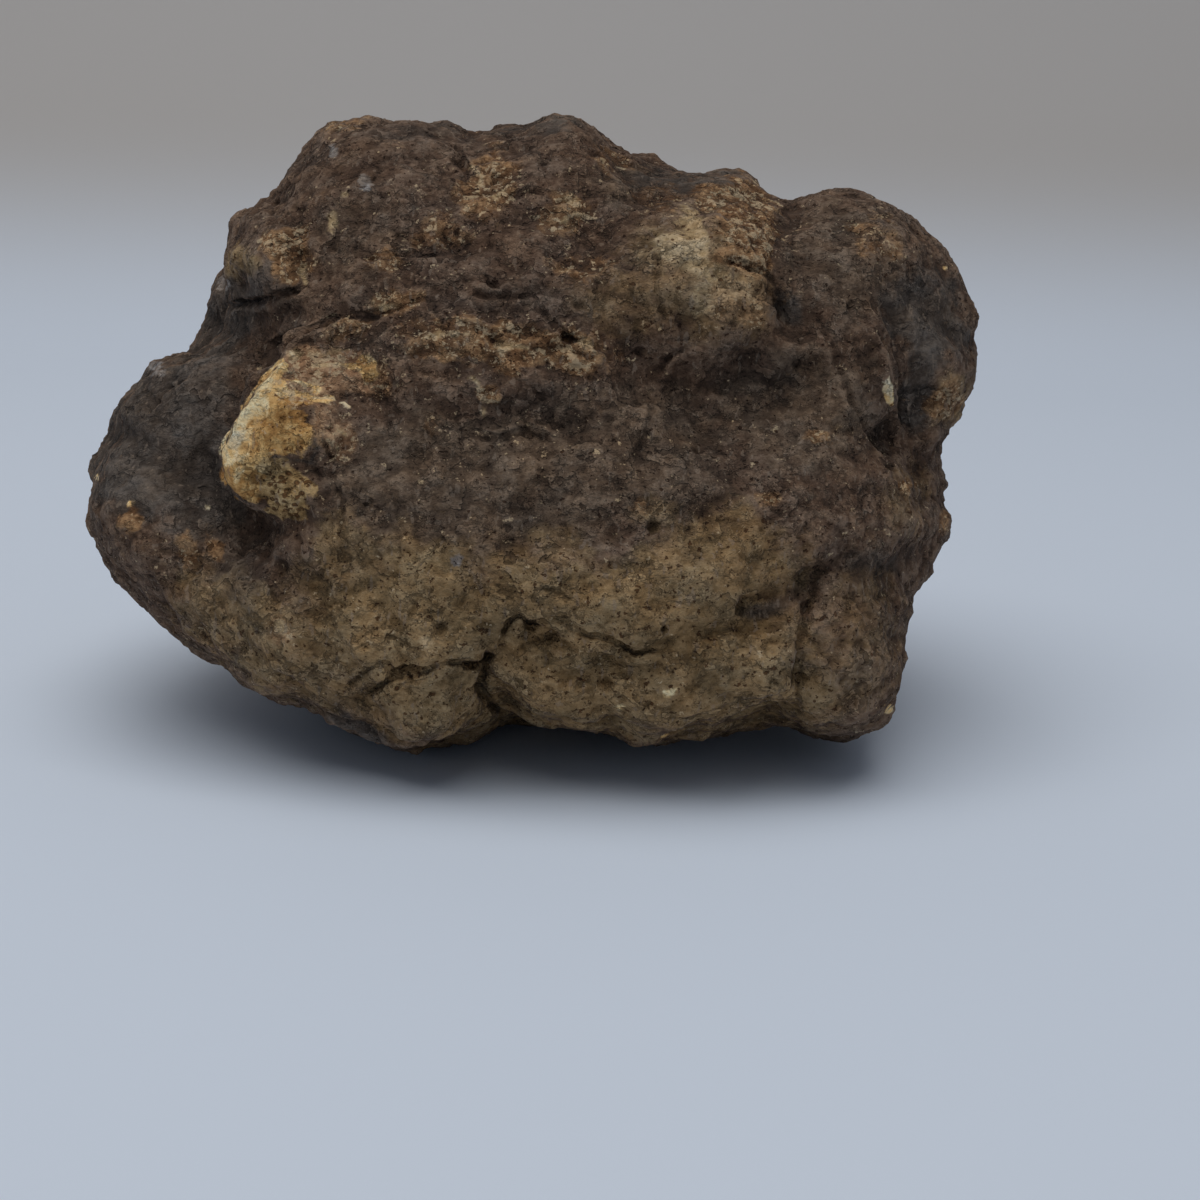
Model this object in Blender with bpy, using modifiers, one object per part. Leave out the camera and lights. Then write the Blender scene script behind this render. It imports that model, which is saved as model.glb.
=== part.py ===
"""Unopened geode: one lumpy stone nodule that rests on a small flat spot.

The stone is drawn in a leaning frame, in millimetres: x runs to the right, u up the plane of
the stone's widest outline, and w forward out of that plane. Places on its surface are given
on the outline plane, as sighted from one point in front of it. At the end the stone is stood
up, cut flat where it rests and scaled to its driving dimensions, in metres, +Z up.
"""

import math

import bmesh
import bpy
import numpy as np
from mathutils import Matrix, Vector, noise

# Driving dimensions, in metres.
LENGTH = 0.157
DEPTH = 0.120
HEIGHT = 0.106

# How far the leaning frame leans back and rolls, in degrees, and the point that places are
# sighted from, in mm.
LEAN_DEG = 14.4
ROLL_DEG = 1.6
SIGHT = np.array((12.0, -30.5, 358.5))

# The body's half thicknesses before and behind the outline, and how far its low and high parts lean
# forward or back, in mm.
FRONT = 45.0
BACK = 52.0
FULLNESS = 0.92  # under 1 gives the body flatter faces
LOW_FORWARD = 20.0
HIGH_BACK = 4.0
LOW_BAND = (8.0, -58.0)  # heights up the outline over which each lean comes in
HIGH_BAND = (10.0, 56.0)
REST_BELOW = 50.5  # how far the flat resting spot lies below the outline's middle

TRIANGLES = 9400
SHARP_DEG = 60.0
SPHERE_LEVEL = 7
VOXEL = 1.0
SMOOTHING = 3
SOFT_TURNS = 30  # half degrees of turn over which the outline is softened away from the rim
RIM_BAND = (0.62, 0.97)  # shares of the way out over which the body takes on its outline
FIT_ROUNDS = 4
FIT_TURNS = 360  # directions round the outline in which it is fitted
FIT_WINDOW = (0.1, 0.2, 0.4, 0.2, 0.1)
FIT_BAND = (0.55, 1.0)  # shares of the way out over which the fit takes hold

# The widest outline, (x, u) in mm, anticlockwise from the right.
OUTLINE = (
    (73.0, -2.0), (76.0, 3.0), (78.0, 7.0), (79.5, 11.0), (79.9, 14.0), (78.5, 20.0),
    (76.0, 27.0), (72.5, 32.5), (68.5, 37.0), (63.0, 40.0), (57.5, 42.0), (52.0, 42.4),
    (49.0, 41.2), (45.0, 41.6), (41.0, 44.0), (38.0, 47.0), (34.0, 47.5), (27.5, 47.2),
    (22.0, 48.5), (16.0, 51.0), (11.0, 55.0), (6.5, 56.5), (2.0, 56.3), (-3.0, 55.2),
    (-8.5, 54.2), (-11.5, 54.0), (-15.0, 55.0), (-20.0, 55.7), (-26.5, 55.8), (-33.0, 55.8),
    (-38.0, 53.8), (-41.0, 50.5), (-43.0, 47.8), (-45.5, 44.5), (-47.0, 42.0), (-51.0, 40.2),
    (-54.5, 38.6), (-55.0, 34.5), (-56.0, 31.0), (-57.5, 26.5), (-59.0, 21.0), (-61.0, 16.5),
    (-63.0, 14.2), (-66.5, 13.6), (-70.0, 10.5), (-74.5, 5.5), (-76.5, 0.5), (-79.0, -3.5),
    (-80.0, -6.5), (-79.0, -9.5), (-80.0, -14.5), (-78.0, -20.0), (-75.0, -26.0),
    (-70.5, -30.5), (-66.0, -34.5), (-60.5, -40.0), (-55.0, -43.3), (-48.5, -48.0),
    (-42.0, -49.0), (-36.5, -51.5), (-31.0, -54.5), (-22.5, -57.2), (-16.0, -56.5),
    (-10.5, -54.8), (-5.0, -52.4), (0.0, -53.2), (8.0, -53.4), (14.0, -54.0), (18.5, -56.0),
    (23.0, -56.5), (29.0, -55.3), (36.5, -54.0), (43.0, -52.2), (47.5, -53.6), (51.5, -55.0),
    (56.0, -55.0), (61.0, -53.0), (64.8, -49.0), (66.3, -43.5), (67.8, -36.0), (70.0, -28.0),
    (73.0, -21.5), (74.8, -16.0), (73.0, -11.0), (72.8, -6.0),
)

# Rounded lumps on the front: name, x, u, half width, half height, turn in degrees, rise in mm.
FRONT_LUMPS = (
    ("top_left_dome", -24.0, 42.0, 24.0, 16.0, 14, 3.4),
    ("top_middle_dome", 6.0, 47.0, 17.0, 11.0, -18, 3.4),
    ("upper_slope", -12.0, 27.0, 34.0, 10.0, -4, 3.0),
    ("right_brow", 33.0, 43.0, 16.0, 8.0, -20, 2.6),
    ("pale_nose", 30.0, 28.0, 18.0, 19.0, -28, 4.8),
    ("right_lump", 64.0, 24.0, 18.0, 22.0, 20, 5.8),
    ("right_lump_rim", 73.0, 9.0, 7.0, 15.0, -8, 3.5),
    ("right_slab", 53.0, 8.0, 14.0, 15.0, 15, 4.0),
    ("left_knob", -48.0, 32.0, 11.0, 9.5, -40, 3.4),
    ("left_terrace", -48.0, 19.5, 13.0, 4.5, 14, 1.6),
    ("chert_corner", -42.0, 2.0, 16.5, 18.0, 28, 6.5),
    ("chert_knob", -44.5, -10.5, 6.0, 6.5, 0, 2.4),
    ("nose_top", -66.0, 4.0, 11.0, 12.0, 30, 3.5),
    ("nose_low", -69.0, -15.0, 12.0, 16.0, -20, 4.5),
    ("shoulder", -8.0, 13.0, 34.0, 11.0, -3, 3.2),
    ("belly_left", -20.0, -14.0, 25.0, 18.0, 5, 3.8),
    ("belly_middle", 11.0, -6.0, 24.0, 16.0, -10, 3.8),
    ("belly_right", 52.0, -13.0, 21.0, 14.0, -12, 5.5),
    ("tan_band", 14.0, -25.0, 29.0, 12.0, 3, 4.5),
    ("tan_left", -25.0, -34.0, 22.0, 12.0, 8, 3.5),
    ("keel_left", 4.0, -44.0, 14.0, 10.5, -6, 3.8),
    ("keel_right", 29.0, -45.0, 17.5, 11.5, 8, 4.6),
    ("foot", 58.5, -40.0, 9.5, 18.0, -8, 3.0),
    ("heel_left", -21.0, -50.0, 14.0, 7.5, 14, 4.2),
    ("left_flank", -49.0, -35.0, 21.0, 12.0, -38, 2.5),
)

# Lumps on the back, in the same terms. Both sides are sighted from the front.
BACK_LUMPS = (
    ("back_crown", -20.0, 38.0, 26.0, 15.0, 12, 3.8),
    ("back_crown_right", 22.0, 33.0, 23.0, 15.0, -20, 3.6),
    ("back_right_lobe", 55.0, 18.0, 19.0, 21.0, 10, 5.0),
    ("back_middle", 6.0, 3.0, 27.0, 18.0, 25, 4.0),
    ("back_left_lobe", -38.0, 8.0, 21.0, 18.0, -15, 4.5),
    ("back_left_end", -64.0, -8.0, 14.0, 16.0, 0, 3.5),
    ("back_low_right", 38.0, -24.0, 22.0, 14.0, 15, 4.5),
    ("back_low_left", -38.0, -27.0, 19.0, 12.0, -28, 3.6),
    ("back_knob", 27.0, 13.0, 11.0, 6.5, 20, 3.6),
    ("back_shelf", -50.0, -20.0, 12.0, 6.0, -25, 4.0),
    ("back_heel", 55.0, -38.0, 10.0, 13.0, 0, 2.5),
    ("back_bulge", 14.0, -26.0, 15.0, 8.0, 12, 3.4),
    ("back_belly", -18.0, -22.0, 14.0, 8.0, -10, 3.2),
    ("resting_swell", -4.0, -42.5, 27.0, 13.0, 0, 9.0),
)

DOME_POWER = 0.8  # under 1 gives a lump a flatter top
CREASE = 1.2  # how softly two lumps meet, in mm

# Hollows: name, (x, u) points of the line that they follow, half width, depth in mm.
FRONT_HOLLOWS = (
    ("left_valley", ((-50.0, 12.0), (-58.0, 3.0), (-62.0, -8.0), (-57.0, -18.0)), 6.0, 2.8),
    ("under_knob", ((-58.0, 21.0), (-50.0, 17.0), (-43.0, 17.5)), 3.0, 1.2),
    ("crown_trough", ((-22.0, 33.0), (0.0, 27.5), (17.0, 29.5)), 4.0, 1.4),
    ("under_pale_nose", ((23.0, 13.0), (30.0, 7.5), (43.0, 9.5)), 8.0, 4.6),
    ("right_gully", ((48.0, 41.0), (49.5, 33.0), (50.5, 27.0)), 3.0, 1.8),
    ("gully_pit", ((43.5, 24.5), (45.5, 22.0), (47.0, 19.0)), 2.6, 3.2),
    ("right_hollow", ((65.5, 17.0), (67.5, 10.0), (69.0, 3.0)), 3.4, 2.4),
    ("right_patch", ((68.0, 24.0), (72.0, 19.0)), 5.0, 1.6),
    ("under_right_lump", ((63.0, -1.5), (73.0, -3.0)), 3.2, 2.2),
    (
        "foot_gully",
        ((67.0, -23.0), (57.0, -24.0), (51.5, -27.0), (49.5, -36.0), (49.5, -50.0)), 3.6, 1.9,
    ),
    ("dark_pocket", ((37.5, -31.5), (46.0, -32.5), (50.5, -31.0)), 3.4, 3.4),
    ("pocket_shelf", ((30.0, -36.5), (44.0, -36.0)), 2.4, 1.4),
    ("heel_crevice", ((-8.8, -41.5), (-8.4, -47.0), (-6.0, -51.0)), 2.2, 3.4),
    ("middle_dimple", ((-1.0, 2.5), (9.0, -1.0)), 4.0, 2.2),
    ("side_dimple", ((21.0, -3.0), (31.0, -2.0)), 4.0, 1.8),
    ("knob_neck", ((-47.0, 40.5), (-41.5, 36.0), (-40.0, 29.0)), 2.4, 1.8),
    ("crown_notch", ((-11.5, 54.0), (-10.5, 47.0), (-14.0, 40.0)), 3.6, 2.0),
    ("nose_crease", ((-79.0, 0.0), (-71.0, -2.0), (-64.0, -8.0)), 2.6, 1.8),
    ("flank_crease", ((-60.0, -22.0), (-46.0, -25.0), (-36.0, -35.0)), 4.0, 2.0),
)

BACK_HOLLOWS = (
    ("back_saddle", ((4.0, 52.0), (2.0, 38.0), (-8.0, 28.0)), 5.0, 2.6),
    ("back_gully_left", ((-30.0, 30.0), (-34.0, 22.0)), 4.0, 2.4),
    ("back_pocket", ((12.0, -8.0), (18.0, -6.0)), 4.0, 3.0),
    ("back_groove", ((-28.0, -34.0), (-18.0, -24.0), (-14.0, -12.0)), 3.0, 2.6),
)

# Ledges: name, (x, u) points of the edge, step, and how far the step reaches on its left and its
# right, in mm. Where the step is positive, the ground on the left of the edge's way is the higher.
FRONT_LEDGES = (
    (
        "tan_lip",
        ((25.0, -39.2), (19.5, -39.8), (17.0, -38.6), (11.5, -36.8), (6.3, -34.6), (2.5, -33.9),
         (-2.5, -33.6), (-5.0, -36.5), (-6.8, -39.0)),
        -3.6, 7.0, 11.0,
    ),
    (
        "heel_lip",
        ((-7.0, -40.2), (-11.0, -41.2), (-17.0, -42.0), (-24.0, -44.0), (-31.0, -47.6)),
        -3.2, 6.0, 11.0,
    ),
    (
        "knob_lip",
        ((-41.0, 26.2), (-46.0, 24.6), (-50.0, 23.6), (-55.5, 23.0)),
        -3.6, 4.0, 8.0,
    ),
    (
        "ridge_lip",
        ((-34.0, 21.2), (-38.0, 19.6), (-42.0, 17.6), (-45.5, 14.5)),
        3.6, 9.0, 6.0,
    ),
    (
        "chert_edge",
        ((-40.0, 19.5), (-45.5, 14.5), (-49.0, 10.0), (-52.0, 5.5), (-55.0, 0.5), (-56.8, -4.0),
         (-54.5, -9.0), (-51.0, -12.5), (-48.0, -15.5), (-44.5, -17.5)),
        11.5, 15.0, 15.0,
    ),
    (
        "nose_slab",
        ((56.0, 23.0), (61.5, 19.0), (63.0, 14.0), (64.6, 8.0), (65.5, 2.0), (67.5, -1.0)),
        -2.6, 8.0, 10.0,
    ),
    (
        "pit_lip",
        ((40.0, 25.5), (43.0, 23.5), (45.5, 19.0), (49.5, 17.8)),
        -2.2, 4.0, 10.0,
    ),
    (
        "keel_edge",
        ((54.0, -24.2), (51.6, -26.4), (50.0, -31.0), (48.4, -37.5), (48.0, -45.0), (47.6, -50.5)),
        -3.2, 6.0, 12.0,
    ),
    (
        "keel_split",
        ((-9.0, -41.0), (-8.0, -46.0), (-5.5, -51.5)),
        2.0, 9.0, 5.0,
    ),
)

BACK_LEDGES = (
    (
        "back_step",
        ((34.0, 26.0), (22.0, 20.0), (8.0, 21.0), (-6.0, 15.0), (-20.0, 17.0), (-30.0, 12.0)),
        3.6, 8.0, 12.0,
    ),
    (
        "back_flap",
        ((-24.0, -8.0), (-14.0, -15.0), (-2.0, -13.0), (10.0, -19.0), (24.0, -16.0)),
        3.4, 12.0, 7.0,
    ),
    (
        "back_cleft",
        ((46.0, 34.0), (41.0, 22.0), (43.0, 8.0), (37.0, -4.0)),
        3.8, 12.0, 7.0,
    ),
    (
        "back_left_step",
        ((-46.0, 28.0), (-52.0, 14.0), (-50.0, 0.0), (-56.0, -12.0)),
        -3.2, 7.0, 12.0,
    ),
)
LEDGE_EDGE = 0.8  # half width of the step itself, in mm
LEDGE_END = 0.25  # share of its length over which a ledge fades in and out
LEDGE_FADE = 1.5  # how suddenly a ledge ends at its reach

# Uneven swelling of the whole surface: wavelength and height in mm.
SWELLS = ((34.0, 1.6), (15.0, 1.4), (7.5, 0.9), (4.6, 0.45))
SIDE_SWELLS = ((24.0, 3.2), (11.0, 1.6))
FRONT_BAND = (-0.05, 0.2)  # shares of the way forward over which the front's relief comes in
BACK_BAND = (0.0, -0.25)
WANDER = ((13.0, 1.3), (5.5, 0.8))  # how lumps, hollows and ledges stray from their smooth lines


def smoothstep(low, high, value):
    """0 below low, 1 above high, and a smooth rise between them."""
    t = np.clip((value - low) / (high - low), 0.0, 1.0)
    return t * t * (3.0 - 2.0 * t)


def outline_radius(angle):
    """The outline's distance from the middle at each angle, on a smooth curve through its points."""
    points = np.array(OUTLINE)
    steps = np.linspace(0.0, 1.0, 12, endpoint=False)[:, None]
    before, start, end, after = (np.roll(points, shift, axis=0)[:, None] for shift in (1, 0, -1, -2))
    curve = 0.5 * (
        2.0 * start
        + (end - before) * steps
        + (2.0 * before - 5.0 * start + 4.0 * end - after) * steps**2
        + (3.0 * (start - end) + after - before) * steps**3
    ).reshape(-1, 2)
    turns = np.unwrap(np.arctan2(curve[:, 1], curve[:, 0]))
    turns = np.maximum.accumulate(turns)
    return np.interp(angle, turns, np.hypot(*curve.T), period=2.0 * math.pi)


def sighted(points):
    """Where points of the stone appear on the outline plane, seen from SIGHT."""
    reach = SIGHT[2] / (SIGHT[2] - points[:, 2:3])
    return SIGHT[:2] + (points[:, :2] - SIGHT[:2]) * reach


def along(line, places):
    """(distance, signed offset, share of the line's length) of places from a bent line.

    The offset is positive to the left of the line's way.
    """
    line = np.array(line)
    lengths = np.hypot(*np.diff(line, axis=0).T)
    best = np.full(len(places), np.inf)
    offset = np.zeros(len(places))
    share = np.zeros(len(places))
    for number, (start, end) in enumerate(zip(line[:-1], line[1:])):
        way = (end - start) / lengths[number]
        run = np.clip((places - start) @ way, 0.0, lengths[number])
        gap = places - start - run[:, None] * way
        distance = np.hypot(*gap.T)
        nearer = distance < best
        best = np.where(nearer, distance, best)
        offset = np.where(nearer, way[0] * gap[:, 1] - way[1] * gap[:, 0], offset)
        share = np.where(nearer, (lengths[:number].sum() + run) / lengths.sum(), share)
    return best, offset, share


def lump_rise(lumps, places):
    """The height of a set of lumps, which meet each other in creases."""
    top = np.zeros(len(places))
    for _, x, u, half_width, half_height, turn, rise in lumps:
        cos, sin = math.cos(math.radians(turn)), math.sin(math.radians(turn))
        dx, du = places[:, 0] - x, places[:, 1] - u
        across = (cos * dx + sin * du) / half_width
        up = (cos * du - sin * dx) / half_height
        dome = rise * np.clip(1.0 - across**2 - up**2, 0.0, None) ** DOME_POWER
        rounded = np.sqrt((top - dome) ** 2 + CREASE**2) - CREASE * np.exp(-(dome + top) / CREASE)
        top = np.where(dome > 0.0, 0.5 * (top + dome + rounded), top)
    return top


def hollow_depth(hollows, places):
    """The depth of a set of hollows, each along its own line."""
    depth = np.zeros(len(places))
    for _, line, half_width, deep in hollows:
        distance, _, _ = along(line, places)
        depth += deep * np.exp(-((distance / half_width) ** 2))
    return depth


def ledge_rise(ledges, places):
    """Sharp steps along the ledges, each fading out away from its edge and at its ends."""
    rise = np.zeros(len(places))
    for _, line, step, left_reach, right_reach in ledges:
        distance, offset, share = along(line, places)
        ends = smoothstep(0.0, LEDGE_END, share) * smoothstep(0.0, LEDGE_END, 1.0 - share)
        reach = np.where(offset > 0.0, left_reach, right_reach)
        fade = np.exp(-((distance / reach) ** LEDGE_FADE)) * ends
        rise += 0.5 * step * np.tanh(offset / LEDGE_EDGE) * fade
    return rise


def swelling(points, swells, seed):
    """Smooth uneven noise, summed over its wavelengths."""
    shift = Vector((seed, 2.0 * seed, 3.0 * seed))
    total = np.zeros(len(points))
    for wavelength, height in swells:
        total += height * np.array([noise.noise(Vector(p) / wavelength + shift) for p in points])
    return total


def body_points(directions):
    """The stone's plain body: its outline, softened away from the rim, carried round front and back."""
    x, u, w = directions.T
    angle = np.arctan2(u, x)
    ring = np.hypot(x, u)
    turns = np.radians(np.arange(-360, 361) / 2.0)
    sharp = outline_radius(turns)
    window = np.hanning(2 * SOFT_TURNS + 1)
    wrapped = np.concatenate((sharp[-1 - SOFT_TURNS : -1], sharp, sharp[1 : SOFT_TURNS + 1]))
    soft = np.convolve(wrapped, window / window.sum(), "valid")
    rim = smoothstep(*RIM_BAND, ring)
    radius = np.interp(angle, turns, soft) * (1.0 - rim) + np.interp(angle, turns, sharp) * rim
    flat = (radius * ring)[:, None] * np.column_stack((np.cos(angle), np.sin(angle)))
    thickness = np.where(w > 0.0, FRONT, BACK) * np.sign(w) * np.abs(w) ** FULLNESS
    lean = LOW_FORWARD * smoothstep(*LOW_BAND, flat[:, 1])
    lean -= HIGH_BACK * smoothstep(*HIGH_BAND, flat[:, 1])
    return np.column_stack((flat, thickness + lean))


def with_relief(points, directions):
    """The body with its lumps, hollows, ledges and swelling, raised along its normals."""
    half_size = np.array((0.5 * LENGTH, 0.5 * HEIGHT, 0.5 * DEPTH)) * 1000.0
    normals = points / half_size**2
    normals /= np.linalg.norm(normals, axis=1)[:, None]
    stray = np.column_stack([swelling(points, WANDER, seed) for seed in (11.0, 17.0)])
    in_front = smoothstep(*FRONT_BAND, directions[:, 2])
    behind = smoothstep(*BACK_BAND, directions[:, 2])
    places = sighted(points) + stray
    front = lump_rise(FRONT_LUMPS, places) + ledge_rise(FRONT_LEDGES, places)
    front -= hollow_depth(FRONT_HOLLOWS, places)
    places = points[:, :2] + stray
    back = lump_rise(BACK_LUMPS, places) + ledge_rise(BACK_LEDGES, places)
    back -= hollow_depth(BACK_HOLLOWS, places)
    side = swelling(points, SIDE_SWELLS, seed=7.0)
    rise = front * in_front + back * behind + side * (1.0 - in_front) + swelling(points, SWELLS, seed=3.0)
    return points + rise[:, None] * normals


def fitted_to_outline(points):
    """Draws the rim in or out until the stone's outline, as sighted, is the drawn one."""
    bins = np.linspace(-math.pi, math.pi, FIT_TURNS + 1)
    middles = 0.5 * (bins[:-1] + bins[1:])
    for _ in range(FIT_ROUNDS):
        seen = sighted(points)
        angle = np.arctan2(seen[:, 1], seen[:, 0])
        radius = np.hypot(*seen.T)
        number = np.clip(np.digitize(angle, bins) - 1, 0, len(middles) - 1)
        reach = np.zeros(len(middles))
        np.maximum.at(reach, number, radius)
        ratio = outline_radius(middles) / reach
        ratio = np.convolve(np.pad(ratio, 2, "wrap"), FIT_WINDOW, "valid")
        share = radius / np.interp(angle, middles, reach, period=2.0 * math.pi)
        pull = np.interp(angle, middles, ratio, period=2.0 * math.pi) - 1.0
        pull = 1.0 + pull * smoothstep(*FIT_BAND, share)
        points = points * np.column_stack((pull, pull, np.ones(len(points))))
    return points


def evaluated_mesh(obj):
    """The object's mesh with its modifiers applied."""
    graph = bpy.context.evaluated_depsgraph_get()
    return bpy.data.meshes.new_from_object(obj.evaluated_get(graph))


def sculpted_stone(collection):
    """The stone in its leaning frame, in mm, remeshed evenly and then thinned to TRIANGLES."""
    mesh = bpy.data.meshes.new("stone_form")
    form = bmesh.new()
    bmesh.ops.create_icosphere(form, subdivisions=SPHERE_LEVEL, radius=1.0)
    directions = np.array([v.co for v in form.verts])
    points = fitted_to_outline(with_relief(body_points(directions), directions))
    for vertex, point in zip(form.verts, points):
        vertex.co = point
    form.to_mesh(mesh)
    form.free()
    stone = bpy.data.objects.new("stone_form", mesh)
    collection.objects.link(stone)
    remesh = stone.modifiers.new("even", "REMESH")
    remesh.mode = "VOXEL"
    remesh.voxel_size = VOXEL
    ease = stone.modifiers.new("ease", "SMOOTH")
    ease.factor = 0.5
    ease.iterations = SMOOTHING
    faces = len(evaluated_mesh(stone).polygons)
    thin = stone.modifiers.new("thin", "DECIMATE")
    thin.ratio = TRIANGLES / (2.0 * faces)
    thinned = evaluated_mesh(stone)
    bpy.data.objects.remove(stone)
    return thinned


def cut_resting_spot(mesh):
    """Cuts the stone off flat where it rests, and closes the cut."""
    form = bmesh.new()
    form.from_mesh(mesh)
    cut = bmesh.ops.bisect_plane(
        form,
        geom=form.verts[:] + form.edges[:] + form.faces[:],
        dist=1e-4,
        plane_co=(0.0, 0.0, -REST_BELOW),
        plane_no=(0.0, 0.0, -1.0),
        clear_outer=True,
    )
    rim = [piece for piece in cut["geom_cut"] if isinstance(piece, bmesh.types.BMEdge)]
    bmesh.ops.contextual_create(form, geom=rim)
    bmesh.ops.triangulate(form, faces=form.faces[:])
    bmesh.ops.recalc_face_normals(form, faces=form.faces[:])
    form.to_mesh(mesh)
    form.free()


def brought_to_size(mesh):
    """Scales the stone to its size with its origin under it. Gives where the outline's middle comes."""
    corners = np.array([v.co for v in mesh.vertices])
    low, high = corners.min(axis=0), corners.max(axis=0)
    scale = np.array((LENGTH, DEPTH, HEIGHT)) / (high - low)
    under_middle = np.array((0.5 * (low[0] + high[0]), 0.5 * (low[1] + high[1]), low[2]))
    mesh.transform(Matrix.Diagonal((*scale, 1.0)) @ Matrix.Translation(-Vector(under_middle)))
    return -under_middle * scale


def rind_material():
    """Dull, earthy brown rind."""
    material = bpy.data.materials.new("geode_rind")
    material.use_nodes = True
    shader = material.node_tree.nodes["Principled BSDF"]
    shader.inputs["Base Color"].default_value = (0.105, 0.078, 0.055, 1.0)
    shader.inputs["Roughness"].default_value = 0.85
    shader.inputs["Metallic"].default_value = 0.0
    return material


def main():
    for obj in list(bpy.data.objects):
        bpy.data.objects.remove(obj)
    collection = bpy.data.collections.new("unopened_geode")
    bpy.context.scene.collection.children.link(collection)
    mesh = sculpted_stone(collection)
    mesh.name = "geode"
    upright = Matrix.Rotation(math.radians(90.0 - LEAN_DEG), 4, "X")
    mesh.transform(upright @ Matrix.Rotation(math.radians(ROLL_DEG), 4, "Z"))
    cut_resting_spot(mesh)
    geode = bpy.data.objects.new("geode", mesh)
    geode["outline_middle"] = list(brought_to_size(mesh))
    collection.objects.link(geode)
    mesh.materials.clear()
    mesh.materials.append(rind_material())
    mesh.shade_smooth()
    mesh.set_sharp_from_angle(angle=math.radians(SHARP_DEG))


main()
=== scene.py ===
"""The look of the unopened geode: its rind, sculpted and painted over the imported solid.

Relief and places on the stone are in mm. Marks that the front shows are placed in pixels of a
1200 x 1200 picture taken by the camera below, and are carried onto the surface that faces it.
Marks on the other sides are placed in mm in the row frame.
"""
import itertools
import math

import bmesh
import bpy
import numpy as np
from mathutils import Matrix, Vector


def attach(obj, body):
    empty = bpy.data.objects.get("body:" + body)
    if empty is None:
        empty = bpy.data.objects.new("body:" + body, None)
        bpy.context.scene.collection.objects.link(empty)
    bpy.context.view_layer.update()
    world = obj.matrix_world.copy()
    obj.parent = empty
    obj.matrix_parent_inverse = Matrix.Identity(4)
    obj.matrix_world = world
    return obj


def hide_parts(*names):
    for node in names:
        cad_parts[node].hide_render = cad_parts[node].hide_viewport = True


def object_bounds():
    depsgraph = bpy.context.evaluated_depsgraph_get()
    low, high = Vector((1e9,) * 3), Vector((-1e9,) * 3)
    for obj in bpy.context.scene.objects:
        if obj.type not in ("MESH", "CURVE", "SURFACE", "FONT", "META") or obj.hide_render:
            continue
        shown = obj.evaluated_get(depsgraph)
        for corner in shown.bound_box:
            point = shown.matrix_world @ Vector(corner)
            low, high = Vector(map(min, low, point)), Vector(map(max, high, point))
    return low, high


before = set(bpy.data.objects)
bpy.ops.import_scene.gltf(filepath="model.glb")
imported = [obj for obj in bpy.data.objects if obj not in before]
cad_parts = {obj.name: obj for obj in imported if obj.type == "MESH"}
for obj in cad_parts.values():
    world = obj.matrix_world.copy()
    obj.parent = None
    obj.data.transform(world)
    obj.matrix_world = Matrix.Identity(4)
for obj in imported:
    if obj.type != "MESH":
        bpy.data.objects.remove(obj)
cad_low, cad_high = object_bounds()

# The camera: it leans down and rolls a little, and stands a short way from the outline's middle.
LENS_MM = 60.0
SENSOR_MM = 36.0
PICTURE_PX = 1200.0
LEAN_DEG = 14.4
ROLL_DEG = 1.6
OUTLINE_MIDDLE = np.array((0.0002, 0.0018, 0.0508))
EYE_FROM_MIDDLE = np.array((0.012, -0.0305, 0.3585))

# The surface's grain, in mm.
FORM_VOXEL = 0.6
FORM_SMOOTHING = 16
FINE_VOXEL = 0.42
FINE_SMOOTHING = 1
TRIANGLES = 195000
FOOT_BAND = (0.15, 2.5)  # heights over which the relief fades in above the flat resting spot

# Relief all over the stone, in mm. The rind lies in nearly level layers, so some of its relief is
# squeezed upright. Evening is the share of a relief that smooth rind loses.
BROAD_LUMPS = ((15.0, 0.8, 2), (5.5, 0.45, 4))  # size, height, seed
BROAD_LAYERS = (9.0, 0.75, 0.6, 0.5, 9)  # size, height, step, fade, seed
BROAD_CREASES = (12.0, 0.05, 0.7, 41)  # size, width as a share of it, depth, seed
BROAD_HOLLOWS = (5.0, 0.75, 0.5, 57)  # size, bar (a higher one gives fewer), depth, seed
BROAD_LIFT = 0.1
FINE_GRAIN = (3.0, 0.13)  # size, height
FINE_LAYERS = (4.5, 0.28, 0.55, 0.6, 17)
FINE_CREASES = (6.0, 0.06, 0.3, 61)
FINE_HOLLOWS = (2.6, 0.75, 0.3, 71)
CRUST_HUMPS = (1.9, 0.25)
WORN_SIZE = 16.0  # how far apart the rind's worn places lie
ROUND_PITS = (3.6, 0.3, 0.5)  # spacing, reach as a share of it, depth
CRUMBS = (1.8, 0.46, 0.6, 0.45)  # spacing, reach and how common they are as shares, height
BROAD_EVENING, FINE_EVENING, PIT_EVENING = 0.5, 0.55, 0.8
LEVEL_GRAIN, NEAR_LEVEL_GRAIN = np.array((1.0, 1.0, 1.3)), np.array((1.0, 1.0, 1.2))
RISER = 0.12  # how steep the steps' risers are, as their share of a step
LEVEL_ROUNDS = {"fine": (4, 0.25), "broad": (40, 1.2)}  # smoothing rounds, height in mm at full

SEED = 2955

CORNERS = list(itertools.product((0, 1), repeat=3))
_draws = np.random.default_rng(SEED)
TURN = _draws.permutation(256)
SLOPES = _draws.normal(size=(256, 3))
SLOPES /= np.linalg.norm(SLOPES, axis=1)[:, None]
LUCK = _draws.random((256, 5))

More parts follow.
